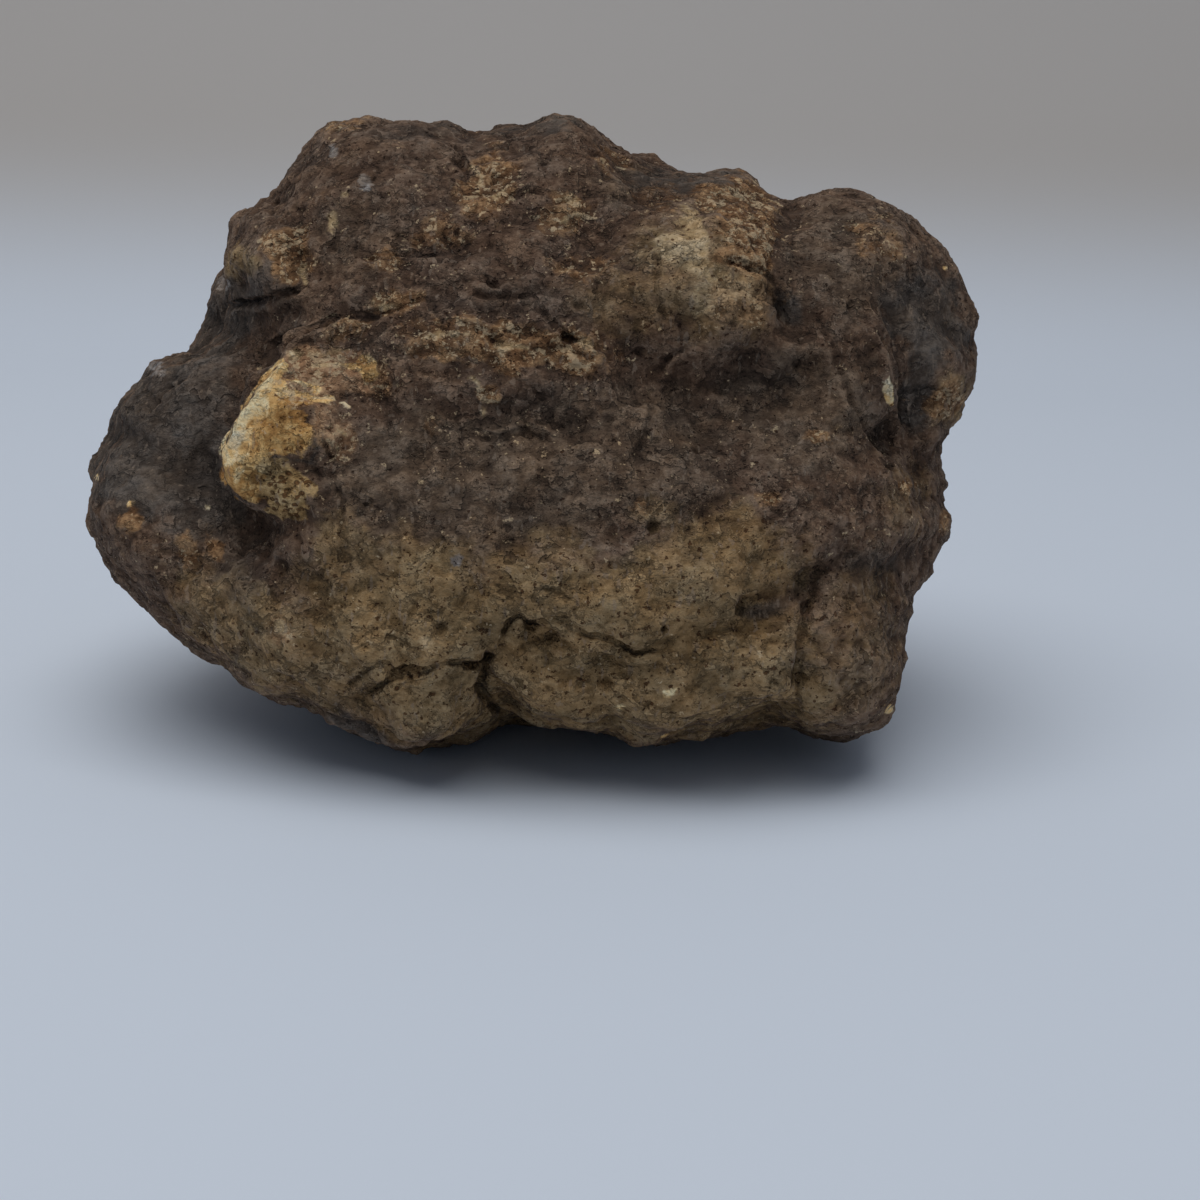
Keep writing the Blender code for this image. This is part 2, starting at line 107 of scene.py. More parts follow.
# Cracks and creases on the front: name, line in px, half width in px, depth and lip in mm.
# The lip is raised on the side that is to the left of the line's way, as seen.
CRACKS = (
    ("heel_crack", ((500, 650), (483, 660), (460, 663), (440, 665), (420, 675), (395, 678),
     (380, 685), (360, 698)), 2.1, 3.0, 0.7),
    ("star_left", ((395, 678), (380, 663), (365, 672), (345, 686)), 1.8, 1.8, 0.3),
    ("star_up", ((402, 665), (395, 640)), 1.8, 1.2, 0.1),
    ("crevice", ((485, 652), (484, 690), (500, 716)), 4.0, 3.4, 0.0),
    ("tan_crack", ((665, 650), (650, 652), (635, 655), (630, 650), (615, 643), (600, 638),
     (585, 636), (568, 628), (565, 622), (550, 622), (530, 622), (520, 615), (510, 620),
     (500, 640)), 2.1, 3.2, 0.9),
    ("tan_line", ((530, 570), (500, 560)), 1.6, 0.9, 0.3),
    ("tan_step", ((572, 600), (560, 592), (540, 585)), 2.0, 1.3, 0.5),
    ("pocket_shelf", ((790, 625), (745, 628), (720, 632), (695, 640)), 4.0, 0.6, 0.3),
    ("foot_split", ((800, 712), (800, 680), (803, 640), (808, 605), (815, 597), (818, 582),
     (822, 572), (840, 565)), 3.0, 1.4, 0.3),
    ("knob_crease", ((303, 285), (280, 291), (262, 298), (240, 300), (222, 306)), 2.2, 3.0, 0.6),
    ("ridge_crease", ((265, 345), (290, 333), (320, 323), (341, 312)), 2.0, 2.4, 0.5),
    ("edge_crack", ((222, 262), (228, 278)), 2.0, 1.2, 0.0),
    ("ochre_crack", ((775, 280), (765, 270), (750, 262), (735, 258)), 2.2, 2.2, 0.5),
    ("hole_rim", ((790, 325), (780, 305), (768, 295)), 3.0, 1.6, 0.0),
    ("shoulder_crack", ((690, 345), (670, 355), (660, 370)), 2.8, 1.3, 0.3),
    ("slab_edge", ((912, 434), (906, 420), (903, 395), (897, 370), (890, 345), (882, 322)),
     2.8, 1.8, 0.3),
    ("chert_crack_high", ((332, 458), (322, 440)), 2.4, 1.4, 0.0),
    ("chert_crack_low", ((322, 478), (312, 463)), 2.4, 1.4, 0.0),
    ("nose_slit", ((140, 384), (146, 391)), 2.0, 1.0, 0.0),
    ("nose_slit_low", ((148, 418), (158, 418)), 2.0, 1.0, 0.0),
    ("rim_flake", ((395, 742), (360, 725), (330, 712), (280, 692)), 2.2, 1.2, 0.5),
    ("rim_flake_high", ((345, 712), (318, 700), (268, 672)), 1.8, 0.9, 0.4),
    ("crown_wrinkle", ((530, 290), (500, 294), (470, 288)), 3.0, 1.1, 0.6),
    ("front_brow", ((437, 292), (400, 300), (372, 312), (341, 314)), 2.2, 1.2, 0.5),
    ("brow_right", ((612, 352), (580, 338), (556, 326), (535, 300)), 2.2, 1.2, 0.5),
    ("belly_seam", ((655, 530), (648, 490), (640, 450), (652, 410)), 2.4, 0.9, 0.3),
    ("right_seam", ((905, 470), (880, 448), (852, 400), (838, 350), (820, 315)), 2.4, 1.0, 0.4),
    ("band_wrinkle", ((590, 356), (560, 346), (530, 350)), 2.4, 1.1, 0.4),
    ("belly_step", ((470, 430), (500, 436), (530, 428), (556, 438)), 2.2, 1.1, 0.4),
    ("crown_step", ((600, 190), (560, 196), (530, 186), (505, 200)), 2.2, 1.1, 0.4),
    ("crown_fold", ((445, 250), (410, 246), (380, 254), (350, 248)), 2.2, 1.0, 0.4),
    ("band_step", ((470, 352), (430, 346), (400, 352), (380, 342)), 2.2, 1.1, 0.4),
    ("crown_drop", ((660, 258), (657, 286), (662, 303), (667, 322)), 2.2, 1.3, 0.2),
    ("crust_split", ((460, 148), (469, 166), (463, 180)), 2.2, 1.4, 0.2),
    ("band_slit", ((534, 382), (547, 398)), 2.0, 1.5, 0.2),
    ("band_hook", ((466, 322), (486, 329), (500, 343)), 2.2, 1.3, 0.4),
    ("crown_slit", ((500, 283), (490, 277), (480, 274)), 2.4, 2.4, 0.4),
    ("brow_pit", ((576, 342), (567, 336), (562, 328)), 2.6, 2.4, 0.4),
    ("nose_brow", ((186, 372), (165, 384), (150, 402)), 2.2, 1.1, 0.3),
    ("chert_foot", ((330, 470), (345, 500), (340, 530)), 2.6, 1.0, 0.3),
)

FINEST_GROOVE = 2.6  # px
LIP_AT, LIP_WIDTH, LIP_REACH = 2.6, 2.0, 4.5  # in the crack's half widths
BLACK_CRACK = 3.0  # mm deep, from where a crack's painted shade is at its darkest
NO_CRACK = 9.0  # half widths from a crack where nothing of it shows

# Sharp crests on the front, between flatter faces: name, line in px, reach in px, rise in mm.
RIDGES = (
    ("chert_rim", ((293, 350), (270, 377), (254, 403), (238, 428), (228, 452), (238, 477),
     (253, 496), (266, 506)), 10, 0.8),
    ("chert_face", ((276, 384), (268, 410), (264, 436), (262, 470)), 9, 0.7),
    ("amber_face", ((268, 412), (290, 405), (312, 407), (315, 436), (300, 458)), 8, 0.6),
    ("amber_ledge", ((300, 346), (342, 342), (386, 352)), 9, 0.6),
    ("ridge_rim", ((281, 352), (300, 338), (322, 330), (345, 318)), 9, 0.9),
    ("slab_rim", ((876, 326), (881, 346), (886, 371), (893, 396), (897, 420), (903, 434)), 9, 0.9),
    ("hole_lip", ((764, 296), (776, 306), (786, 326)), 8, 0.8),
    ("knob_rim", ((224, 299), (240, 293), (262, 291), (280, 284), (301, 279)), 8, 0.6),
    ("crown_edge", ((392, 312), (430, 322), (470, 318), (520, 330)), 9, 0.5),
    ("tan_shelf", ((700, 618), (740, 612), (790, 600)), 9, 0.5),
)
CREST_CURVE = 1.4

# Edges that the front body stops at: name, line in px, how far ahead it stands by y in mm. What
# lies to the left of the line's way, as seen, is cut back to it.
TRIMS = (
    ("chert_edge", ((286, 523), (275, 519), (263, 508), (250, 501), (237, 491), (227, 477),
     (218, 449), (231, 425), (248, 405), (262, 386), (275, 369), (283, 350), (289, 337)),
     (29.0, 32.0)),
)
TRIM_REACH = (20.0, 85.0)  # px
TRIM_DEPTH = 2.4
MM_PER_PX = 0.17

# Pits on the front: x, y, half width, half height in px, depth in mm.
PITS = (
    (272, 198, 5, 4, 1.6), (272, 211, 6, 3, 1.8), (495, 281, 8, 4, 1.5), (500, 291, 28, 6, 0.7),
    (568, 335, 8, 5, 2.0), (530, 428, 8, 3, 1.2), (610, 415, 7, 4, 1.2), (700, 447, 8, 4, 1.4),
    (655, 525, 6, 7, 1.8), (640, 348, 6, 5, 1.3), (668, 355, 6, 4, 1.2), (735, 258, 6, 4, 1.6),
    (783, 308, 9, 16, 0.8), (742, 608, 7, 6, 1.5), (765, 612, 20, 8, 0.7), (441, 627, 5, 5, 1.7),
    (665, 627, 5, 4, 1.5), (608, 683, 9, 6, 1.6), (580, 685, 5, 4, 1.1), (550, 685, 5, 4, 1.1),
    (778, 683, 5, 5, 1.8), (810, 605, 6, 6, 2.0), (255, 545, 7, 12, 1.2), (280, 565, 6, 9, 1.1),
    (222, 565, 5, 5, 1.2), (890, 468, 6, 4, 1.1), (800, 364, 3, 6, 1.2), (660, 258, 4, 5, 1.3),
    (672, 250, 3, 4, 0.9), (365, 645, 4, 3, 1.2), (405, 645, 3, 5, 1.1), (350, 623, 4, 3, 1.0),
    (283, 440, 3, 4, 0.9), (272, 470, 3, 3, 0.9), (282, 478, 3, 4, 1.0), (292, 486, 4, 3, 1.0),
    (279, 492, 3, 4, 1.0), (289, 499, 3, 3, 0.9), (275, 484, 3, 3, 0.9), (298, 474, 3, 3, 0.9),
    (487, 168, 4, 4, 1.7), (495, 177, 4, 3, 1.7), (458, 143, 6, 4, 1.2), (457, 228, 4, 5, 1.3),
    (593, 356, 6, 4, 1.3), (658, 229, 4, 4, 1.2), (580, 302, 6, 4, 1.0), (596, 150, 6, 3, 1.3),
    (606, 157, 4, 3, 1.1), (572, 168, 7, 3, 1.1), (536, 389, 7, 3, 1.0), (437, 374, 3, 3, 0.9),
    (298, 206, 8, 3, 1.4), (250, 430, 3, 3, 0.6), (303, 440, 4, 3, 1.0), (300, 425, 3, 3, 0.8),
    (735, 320, 5, 4, 0.9), (855, 300, 5, 5, 1.0), (648, 560, 4, 4, 0.9), (720, 655, 5, 4, 1.0),
)

# Bumps on the front, in the same terms, with their rise in mm.
BUMPS = (
    (129, 521, 14, 13, 1.3), (284, 492, 24, 27, 1.2), (156, 368, 12, 9, 0.7),
    (187, 545, 12, 18, 0.6), (240, 258, 16, 17, 0.6), (889, 391, 5, 11, 0.8),
    (498, 396, 12, 8, 0.8), (438, 418, 9, 8, 0.6), (640, 560, 12, 9, 0.5), (950, 515, 9, 13, 0.9),
)

# Swells of the whole form: middle and reach in mm in the row frame, rise in mm.
SWELLS = (
    ((61, -4, 90), 13, 1.7), ((67, -9, 83), 12, 1.2), ((73, -12, 66), 12, 0.6),
    ((69, -13, 47), 13, 0.9), ((70, -16, 38), 11, 0.7),
)

# Patches of colour on the front: x, y, half width, half height in px, turn in degrees, strength.
PATCHES = {
    "clay": (
        (560, 655, 250, 98, 2, 1.1), (400, 612, 106, 70, 10, 1.0), (705, 575, 105, 54, 5, 0.8),
        (860, 640, 45, 90, -5, 0.4), (270, 640, 120, 50, -35, 0.75), (720, 690, 130, 60, 0, 0.95),
        (640, 300, 70, 40, 0, 0.5), (240, 262, 18, 18, 0, 0.8), (345, 560, 34, 44, 10, 0.7),
        (655, 512, 24, 18, 20, 0.55), (735, 520, 30, 22, 0, 0.7), (560, 545, 40, 16, -10, 0.5),
        (330, 590, 50, 40, 0, 0.5), (905, 500, 24, 40, 0, 0.4), (700, 275, 80, 60, -10, 0.6),
        (740, 300, 45, 32, 10, 0.56), (948, 402, 26, 26, 20, 0.8),
    ),
    # Dark rind, and painted shade: dark patches laid in the valley beside the chert, under the pale
    # nose, in hollows and along creases.
    "dark_rind_and_shade": (
        (150, 440, 75, 85, -20, 1.2), (222, 320, 40, 60, -30, 0.9), (205, 390, 42, 32, -20, 0.75),
        (205, 480, 50, 60, 15, 0.95), (925, 320, 36, 50, 20, 1.1), (916, 395, 18, 40, -10, 1.1),
        (735, 385, 95, 55, 5, 0.25), (788, 308, 14, 24, 30, 0.8), (765, 610, 28, 12, 5, 0.7),
        (545, 120, 60, 14, 5, 0.8), (690, 178, 60, 16, 5, 0.9), (430, 130, 50, 12, 5, 0.6),
        (235, 560, 40, 50, 30, 0.5), (825, 380, 60, 50, 0, 0.12), (360, 735, 45, 14, -25, 0.8),
        (870, 562, 32, 14, 0, 0.6), (245, 285, 60, 20, 15, 0.55), (520, 300, 120, 14, 0, 0.3),
    ),
    "grey": (
        (470, 490, 160, 80, 0, 1.0), (620, 450, 120, 75, 0, 0.8), (800, 410, 90, 70, 0, 0.8),
        (850, 260, 70, 70, 0, 0.7), (360, 240, 60, 60, 0, 0.5), (700, 500, 60, 40, 0, 0.6),
        (630, 185, 45, 25, 0, 0.8), (840, 640, 60, 60, 0, 0.3), (480, 570, 60, 30, 0, 0.6),
        (640, 560, 40, 26, 20, 0.6),
    ),
    "ochre": (
        (287, 250, 24, 28, 0, 1.2), (748, 226, 34, 52, 8, 1.1), (712, 195, 18, 15, 0, 1.1),
        (485, 185, 30, 40, -15, 0.8), (565, 218, 30, 20, 0, 0.8), (505, 345, 110, 24, -5, 0.8),
        (570, 350, 36, 22, -15, 0.9), (490, 395, 13, 10, 0, 1.1), (385, 262, 24, 16, 0, 0.7),
        (395, 302, 36, 12, 5, 0.8), (440, 235, 34, 18, 0, 0.6), (187, 548, 13, 22, 0, 0.8),
        (215, 548, 12, 14, 0, 0.8), (129, 521, 14, 13, 0, 1.1), (640, 508, 12, 8, 0, 0.6),
        (815, 437, 14, 8, 0, 0.9), (905, 485, 14, 7, 0, 0.75), (770, 497, 14, 8, 0, 0.75),
        (610, 160, 26, 14, -25, 0.6), (745, 300, 50, 24, 10, 0.5), (282, 630, 12, 14, 0, 0.7),
        (580, 265, 40, 16, 0, 0.6), (345, 330, 30, 12, 15, 0.7), (880, 240, 40, 22, -30, 0.5),
        (325, 366, 44, 18, 5, 1.1), (300, 390, 30, 20, 20, 1.0), (942, 400, 24, 18, 40, 0.9),
        (945, 520, 8, 18, 0, 0.5), (340, 122, 40, 8, 8, 0.6), (334, 436, 22, 30, 0, 0.6),
        (380, 380, 22, 18, 0, 0.6), (430, 425, 14, 10, 0, 0.5), (660, 200, 30, 16, 0, 0.5),
    ),
    "cream": (
        (692, 240, 15, 32, 8, 1.1), (668, 246, 16, 12, 0, 0.9), (712, 272, 22, 14, -20, 0.75),
        (430, 642, 10, 9, 0, 0.75), (282, 627, 7, 8, 0, 0.8), (333, 222, 4, 12, -10, 1.0),
        (483, 412, 4, 4, 0, 0.9), (345, 195, 4, 4, 0, 0.8), (130, 503, 4, 4, 0, 0.7),
        (570, 200, 8, 5, 0, 0.7), (505, 345, 14, 5, 0, 0.6), (585, 345, 10, 6, 0, 0.7),
        (700, 300, 16, 22, -10, 0.5), (367, 370, 12, 14, 10, 1.35), (296, 356, 7, 6, 0, 1.0),
        (735, 290, 26, 18, 20, 0.42), (330, 352, 26, 5, 8, 0.55),
    ),
    "amber": (
        (291, 433, 23, 24, 0, 1.25), (256, 440, 22, 46, -8, 1.15), (256, 486, 12, 16, -30, 1.1),
        (230, 424, 5, 16, -32, 1.1), (232, 466, 13, 16, -30, 1.15), (246, 484, 13, 13, 0, 1.15),
        (240, 490, 16, 5, -42, 1.1), (272, 402, 18, 14, 30, 1.0), (303, 398, 16, 8, 0, 0.8),
        (284, 372, 9, 7, 0, 0.7),
    ),
    "olive": (
        (287, 492, 24, 29, 0, 1.3), (270, 470, 14, 12, 0, 0.9),
    ),
    "chert": (
        (229, 452, 10, 15, 0, 1.1), (246, 446, 9, 24, -8, 0.75), (240, 474, 6, 10, -30, 0.7),
        (258, 412, 8, 20, -25, 0.75), (280, 387, 9, 9, 0, 1.0), (288, 427, 9, 7, 0, 0.65),
        (889, 394, 5, 12, 8, 1.6), (890, 709, 6, 5, 30, 1.0), (128, 503, 3, 3, 0, 0.9),
        (97, 478, 4, 4, 0, 1.0), (668, 695, 8, 5, 0, 0.7), (665, 737, 5, 4, 0, 0.9),
        (946, 268, 3, 3, 0, 0.55), (618, 705, 4, 4, 0, 0.8), (366, 369, 10, 13, 10, 1.6),
        (350, 368, 8, 6, 0, 0.9),
    ),
    "pink": (
        (325, 359, 42, 13, 3, 1.15), (303, 384, 24, 15, -20, 0.9), (334, 428, 20, 28, 0, 0.58),
        (284, 374, 10, 8, 0, 1.0), (345, 384, 34, 12, 0, 0.85),
    ),
    "white": (
        (888, 389, 5, 10, 8, 1.6), (236, 436, 8, 12, -30, 0.65), (296, 356, 5, 4, 0, 0.9),
        (97, 478, 3, 3, 0, 1.0),
    ),
    "lilac": (
        (366, 184, 7, 11, 20, 0.9), (333, 152, 6, 8, 0, 0.9), (455, 560, 7, 7, 0, 0.8),
        (158, 368, 8, 10, -15, 0.8), (222, 284, 8, 9, 0, 0.8),
    ),
}

# Streaks of colour on the front: line in px, half width in px, strength.
STREAKS = {
    "white": (
        (((244, 422), (237, 438), (238, 458)), 3.6, 0.62),
        (((312, 396), (334, 400), (348, 405)), 1.6, 0.85),
        (((203, 497), (206, 503), (209, 511)), 0.9, 0.62),
    ),
    "pink": (
        (((318, 405), (332, 422), (350, 432)), 3.0, 0.6),
        (((318, 425), (334, 440), (344, 456)), 3.0, 0.6),
    ),
    "chert": (
        (((283, 362), (273, 375), (262, 390), (248, 409), (237, 427), (228, 446)), 7.0, 1.2),
        (((284, 392), (300, 392), (318, 399), (335, 401)), 3.4, 0.85),
        (((292, 380), (312, 384), (322, 392)), 2.2, 0.9),
        (((264, 470), (254, 480), (250, 492)), 2.2, 0.8),
    ),
    "cream": (
        (((368, 303), (380, 308), (398, 306)), 2.4, 1.0),
        (((425, 338), (440, 333), (470, 336)), 2.6, 0.9),
        (((500, 350), (515, 346), (528, 350)), 2.6, 0.9), (((465, 376), (480, 382)), 2.4, 0.8),
        (((322, 420), (334, 430), (345, 434)), 2.0, 0.8), (((326, 440), (340, 452)), 2.0, 0.7),
        (((303, 262), (304, 274), (305, 285)), 1.8, 1.0),
        (((312, 366), (330, 364), (350, 366)), 2.0, 1.0),
        (((470, 165), (482, 176), (478, 190)), 2.4, 0.9),
        (((560, 222), (574, 214), (586, 218)), 2.4, 0.8), (((490, 198), (505, 190)), 2.4, 0.8),
        (((700, 222), (704, 250), (712, 282)), 3.0, 0.8), (((418, 640), (440, 648)), 2.2, 0.7),
    ),
    "amber": (
        (((239, 414), (229, 432)), 2.4, 1.1),
    ),
    # Painted shade: dark lines along the chert's cracks.
    "dark_rind_and_shade": (
        (((271, 456), (285, 460), (300, 458), (316, 462)), 2.2, 0.8),
        (((316, 408), (318, 430), (314, 456)), 2.6, 0.8),
    ),
}
PATCH_EDGE = (0.55, 1.35)  # shares of the way out over which a patch fades
STREAK_EDGE, FAR_EDGE = (0.6, 1.4), (0.5, 1.3)
WANDER_SIZE, WANDER_PX = 6.0, 4.0  # mm and px: how the borders of the colours stray
WANDER_PATCH = 9.0  # px, half the size of a patch whose border strays once over
MOST_WANDER = 4.0  # how many times over the largest patches' borders stray
STREAK_WANDER, FAR_WANDER, CRACK_WANDER, CREST_WANDER = 0.5, 0.6, 0.35, 0.25
FRONT_FACES = (0.02, 0.3)  # how much a place faces the camera where the front's marks come in

# The chert's place in the picture in px, and how far ahead of the valley it stands by y in mm.
CHERT_LEFT, CHERT_RIGHT, CHERT_TOP = 190.0, 310.0, 335.0
CHERT_AHEAD = (31.0, 34.0)

# Patches on the other sides: middle and reach in mm in the row frame, strength.
FAR_PATCHES = {
    "clay": (((0, 45, 8), 46, 0.8), ((-45, 25, 18), 26, 0.6), ((50, 30, 14), 30, 0.6)),
    "dark_rind_and_shade": (
        ((-52, 34, 62), 17, 0.9), ((20, 60, 66), 15, 0.9), ((60, 30, 44), 13, 0.9),
        ((-20, 30, 100), 15, 0.8), ((-72, 10, 40), 15, 0.9), ((-22, 55, 30), 13, 0.7),
    ),
    "grey": (((30, 45, 80), 26, 0.9), ((-40, 45, 40), 24, 0.9), ((70, 5, 60), 20, 0.8)),
    "ochre": (
        ((-10, 58, 70), 12, 1.0), ((45, 40, 84), 11, 0.9), ((-60, 24, 66), 10, 0.9),
        ((8, 20, 104), 13, 0.7), ((34, 52, 42), 10, 0.8), ((70, 18, 30), 9, 0.8),
        ((-40, 52, 58), 8, 0.8),
    ),
    "cream": (((-14, 60, 62), 6.5, 1.0), ((52, 44, 60), 5.5, 0.9), ((-44, 20, 88), 5.0, 0.9)),
    "amber": (((40, 50, 34), 10, 0.9), ((-60, 30, 30), 9, 0.8)),
    "olive": (((41, 55, 26), 4.0, 0.9),),
    "pink": (((46, 50, 38), 7.0, 0.9), ((-20, 58, 60), 6.0, 0.7)),
    "white": (((42, 54, 31), 2.4, 1.0), ((-60, 34, 50), 1.6, 1.0)),
    "chert": (((43, 53, 30), 5.5, 1.0), ((-8, 62, 60), 3.0, 1.0), ((-64, 30, 27), 4.0, 0.9)),
    "lilac": (((14, 50, 92), 4.0, 0.9), ((-30, 48, 80), 3.5, 0.9)),
}


def smoothstep(low, high, value):
    """0 below low, 1 above high, and a smooth rise between them."""
    t = np.clip((value - low) / (high - low), 0.0, 1.0)
    return t * t * (3.0 - 2.0 * t)


def link(obj):
    bpy.context.scene.collection.objects.link(obj)


def tapered(share, reach):
    """1 along a line and 0 at both its ends, eased over reach. Both are shares of its length."""
    return smoothstep(0.0, reach, share) * smoothstep(0.0, reach, 1.0 - share)


# ---- camera


def view_axes():
    """The camera's right, up and back directions."""
    lean, roll = math.radians(LEAN_DEG), math.radians(ROLL_DEG)
    level = np.array((1.0, 0.0, 0.0))
    upright = np.array((0.0, math.sin(lean), math.cos(lean)))
    back = np.array((0.0, -math.cos(lean), math.sin(lean)))
    right = level * math.cos(roll) + upright * math.sin(roll)
    up = upright * math.cos(roll) - level * math.sin(roll)
    return np.array((right, up, back))


AXES = view_axes()
EYE = OUTLINE_MIDDLE + EYE_FROM_MIDDLE @ AXES


def add_camera():
    data = bpy.data.cameras.new("camera")
    data.lens = LENS_MM
    data.sensor_width = SENSOR_MM
    data.clip_start = 0.01
    camera = bpy.data.objects.new("camera", data)
    turn = Matrix(AXES.T.tolist()).to_4x4()
    camera.matrix_world = Matrix.Translation(Vector(EYE)) @ turn
    link(camera)
    bpy.context.scene.camera = camera


def seen(points):
    """Where points of the stone, in mm, come in the picture, in px."""
    across, up, back = AXES @ (points / 1000.0 - EYE).T
    reach = PICTURE_PX * LENS_MM / SENSOR_MM / -back
    return np.column_stack((PICTURE_PX / 2 + across * reach, PICTURE_PX / 2 - up * reach))


def towards_eye(points, normals):
    """How much each place faces the camera: 1 straight on, 0 edge on, less behind."""
    sight = EYE * 1000.0 - points
    return (sight * normals).sum(axis=1) / np.linalg.norm(sight, axis=1)


# ---- noise


def cell_number(cells):
    """One of 256 numbers for each whole-numbered cell of space."""
    x, y, z = (cells & 255).T
    return TURN[(TURN[(TURN[x] + y) & 255] + z) & 255]


def noise(points, size, seed=0):
    """Smooth noise, about -1 to 1, that changes over about size mm."""
    places = points / size + 17.3 * (seed + 1)
    cells = np.floor(places).astype(int)
    part = places - cells
    ease = part**3 * (10.0 - 15.0 * part + 6.0 * part**2)
    total = np.zeros(len(points))
    for corner in CORNERS:
        weight = np.where(corner, ease, 1.0 - ease).prod(axis=1)
        slope = SLOPES[cell_number(cells + corner)]
        total += weight * ((part - corner) * slope).sum(axis=1)
    return 1.7 * total


def rough(points, size, octaves, seed=0, fade=0.5):
    """Noise summed over halving sizes."""
    return sum(fade**n * noise(points, size / 2.0**n, seed + 7 * n) for n in range(octaves))


def billow(points, size, octaves, seed=0):
    """Rounded humps that meet in creases, about -1 in a crease to 1 on a hump."""
    humps = sum(0.5**n * np.abs(noise(points, size / 2.0**n, seed + 7 * n)) for n in range(octaves))
    return 2.2 * humps - 1.0


def scatter(points, spacing, reach, share, seed=0):
    """Round marks strewn through space, one at most in each cell of the spacing in mm.

    Gives 1 at a mark's middle and 0 past its edge. Reach is the largest mark's radius as a share
    of the spacing, at most 0.5, and share is how many of the cells hold a mark.
    """
    places = points / spacing + 9.1 * (seed + 1)
    cells = np.floor(places - 0.5).astype(int)
    best = np.zeros(len(points))
    for corner in CORNERS:
        cell = cells + corner
        luck = LUCK[cell_number(cell + 53 * seed)]
        radius = reach * (0.35 + 0.65 * luck[:, 3])
        gap = np.linalg.norm(places - cell - luck[:, :3], axis=1) / radius
        best = np.maximum(best, np.where(luck[:, 4] < share, 1.0 - gap, 0.0))
    return best


def layers(points, size, height, step, fade, seed):
    """Layers that lie nearly level and end in sharp risers."""
    field = rough(points * LEVEL_GRAIN, size, 3, seed, fade)
    level = np.floor(field / step)
    part = field / step - level
    riser = smoothstep(0.5 - RISER / 2.0, 0.5 + RISER / 2.0, part)
    return height * (step * (level + riser))


def creases(points, size, width, depth, seed):
    """Thin winding lines that come and go."""
    lines = np.exp(-((rough(points, size, 3, seed) / width) ** 2))
    return depth * (lines * smoothstep(0.0, 0.35, rough(points, 1.6 * size, 2, seed + 3)))


def hollows(points, size, bar, depth, seed):
    """Ragged small pits where noise passes a bar."""
    return depth * smoothstep(bar, bar + 0.3, rough(points, size, 3, seed))


# ---- marks


def along(line, places):
    """(distance, signed offset, share of the line's length) of places from a bent line.

    The offset is positive to the left of the line's way, as seen in the picture.
    """
    line = np.array(line, float)
    lengths = np.hypot(*np.diff(line, axis=0).T)
    best = np.full(len(places), np.inf)
    offset = np.zeros(len(places))
    share = np.zeros(len(places))
    for number, (start, end) in enumerate(zip(line[:-1], line[1:])):
        way = (end - start) / lengths[number]
        run = np.clip((places - start) @ way, 0.0, lengths[number])
        gap = places - start - run[:, None] * way
        distance = np.hypot(*gap.T)
        nearer = distance < best
        best = np.where(nearer, distance, best)
        offset = np.where(nearer, way[1] * gap[:, 0] - way[0] * gap[:, 1], offset)
        share = np.where(nearer, (lengths[:number].sum() + run) / lengths.sum(), share)
    return best, offset, share


def oval(places, x, y, half_width, half_height, turn=0.0):
    """How far places are from an oval's middle: 0 in the middle, 1 on its edge."""
    cos, sin = math.cos(math.radians(turn)), math.sin(math.radians(turn))
    dx, dy = places[:, 0] - x, places[:, 1] - y
    return np.hypot((cos * dx - sin * dy) / half_width, (cos * dy + sin * dx) / half_height)


def nearest_crack(places):
    """(offset, distance, darkness) of the nearest crack, both lengths in its half widths."""
    offset = np.full(len(places), NO_CRACK)
    best = np.full(len(places), NO_CRACK)
    darkness = np.zeros(len(places))
    for _, line, half_width, depth, _ in CRACKS:
        distance, aside, share = along(line, places)
        nearer = distance / half_width < best
        best = np.where(nearer, distance / half_width, best)
        offset = np.where(nearer, aside / half_width, offset)
        # Painted shade: a deeper crack is drawn darker.
        drawn = min(1.0, depth / BLACK_CRACK) * tapered(share, 0.08)
        darkness = np.where(nearer, drawn, darkness)
    return np.clip(offset, -NO_CRACK, NO_CRACK), best, darkness


def crack_relief(places):
    """Grooves along the cracks, with a raised lip on one side."""
    rise = np.zeros(len(places))
    for _, line, half_width, depth, lip in CRACKS:
        half_width = max(half_width, FINEST_GROOVE)
        distance, offset, share = along(line, places)
        ends = np.maximum(tapered(share, 0.12), np.where(distance < 3.0 * half_width, 0.25, 0.0))
        rise -= depth * np.exp(-((distance / half_width) ** 2)) * ends
        edge = np.exp(-(((offset - LIP_AT * half_width) / (LIP_WIDTH * half_width)) ** 2))
        rise += lip * edge * np.exp(-((distance / (LIP_REACH * half_width)) ** 4)) * ends
    return rise


def crest_relief(places):
    """Sharp crests where two faces meet."""
    rise = np.zeros(len(places))
    for _, line, reach, height in RIDGES:
        distance, _, share = along(line, places)
        crest = np.clip(1.0 - distance / reach, 0.0, 1.0) ** CREST_CURVE
        rise += height * crest * tapered(share, 0.15)
    return rise


def trim_relief(points, places):
    """Cuts the front bodies back to their edges."""
    rise = np.zeros(len(places))
    for _, line, ahead in TRIMS:
        distance, offset, share = along(line, places)
        over = np.clip(MM_PER_PX * offset, 0.0, TRIM_DEPTH)
        over = over * (1.0 - smoothstep(*TRIM_REACH, distance))
        rise -= over * tapered(share, 0.06) * smoothstep(*ahead, -points[:, 1])
    return rise


def dent_relief(places):
    """The pits and the bumps."""
    rise = np.zeros(len(places))
    for x, y, half_width, half_height, depth in PITS:
        away = oval(places, x, y, half_width, half_height)
        rise -= depth * (1.0 - smoothstep(0.25, 1.25, away))
        rise += 0.22 * depth * np.exp(-(((away - 1.5) / 0.35) ** 2))
    for x, y, half_width, half_height, height in BUMPS:
        away = oval(places, x, y, half_width, half_height)
        rise += height * (1.0 - smoothstep(0.2, 1.15, away))
    return rise


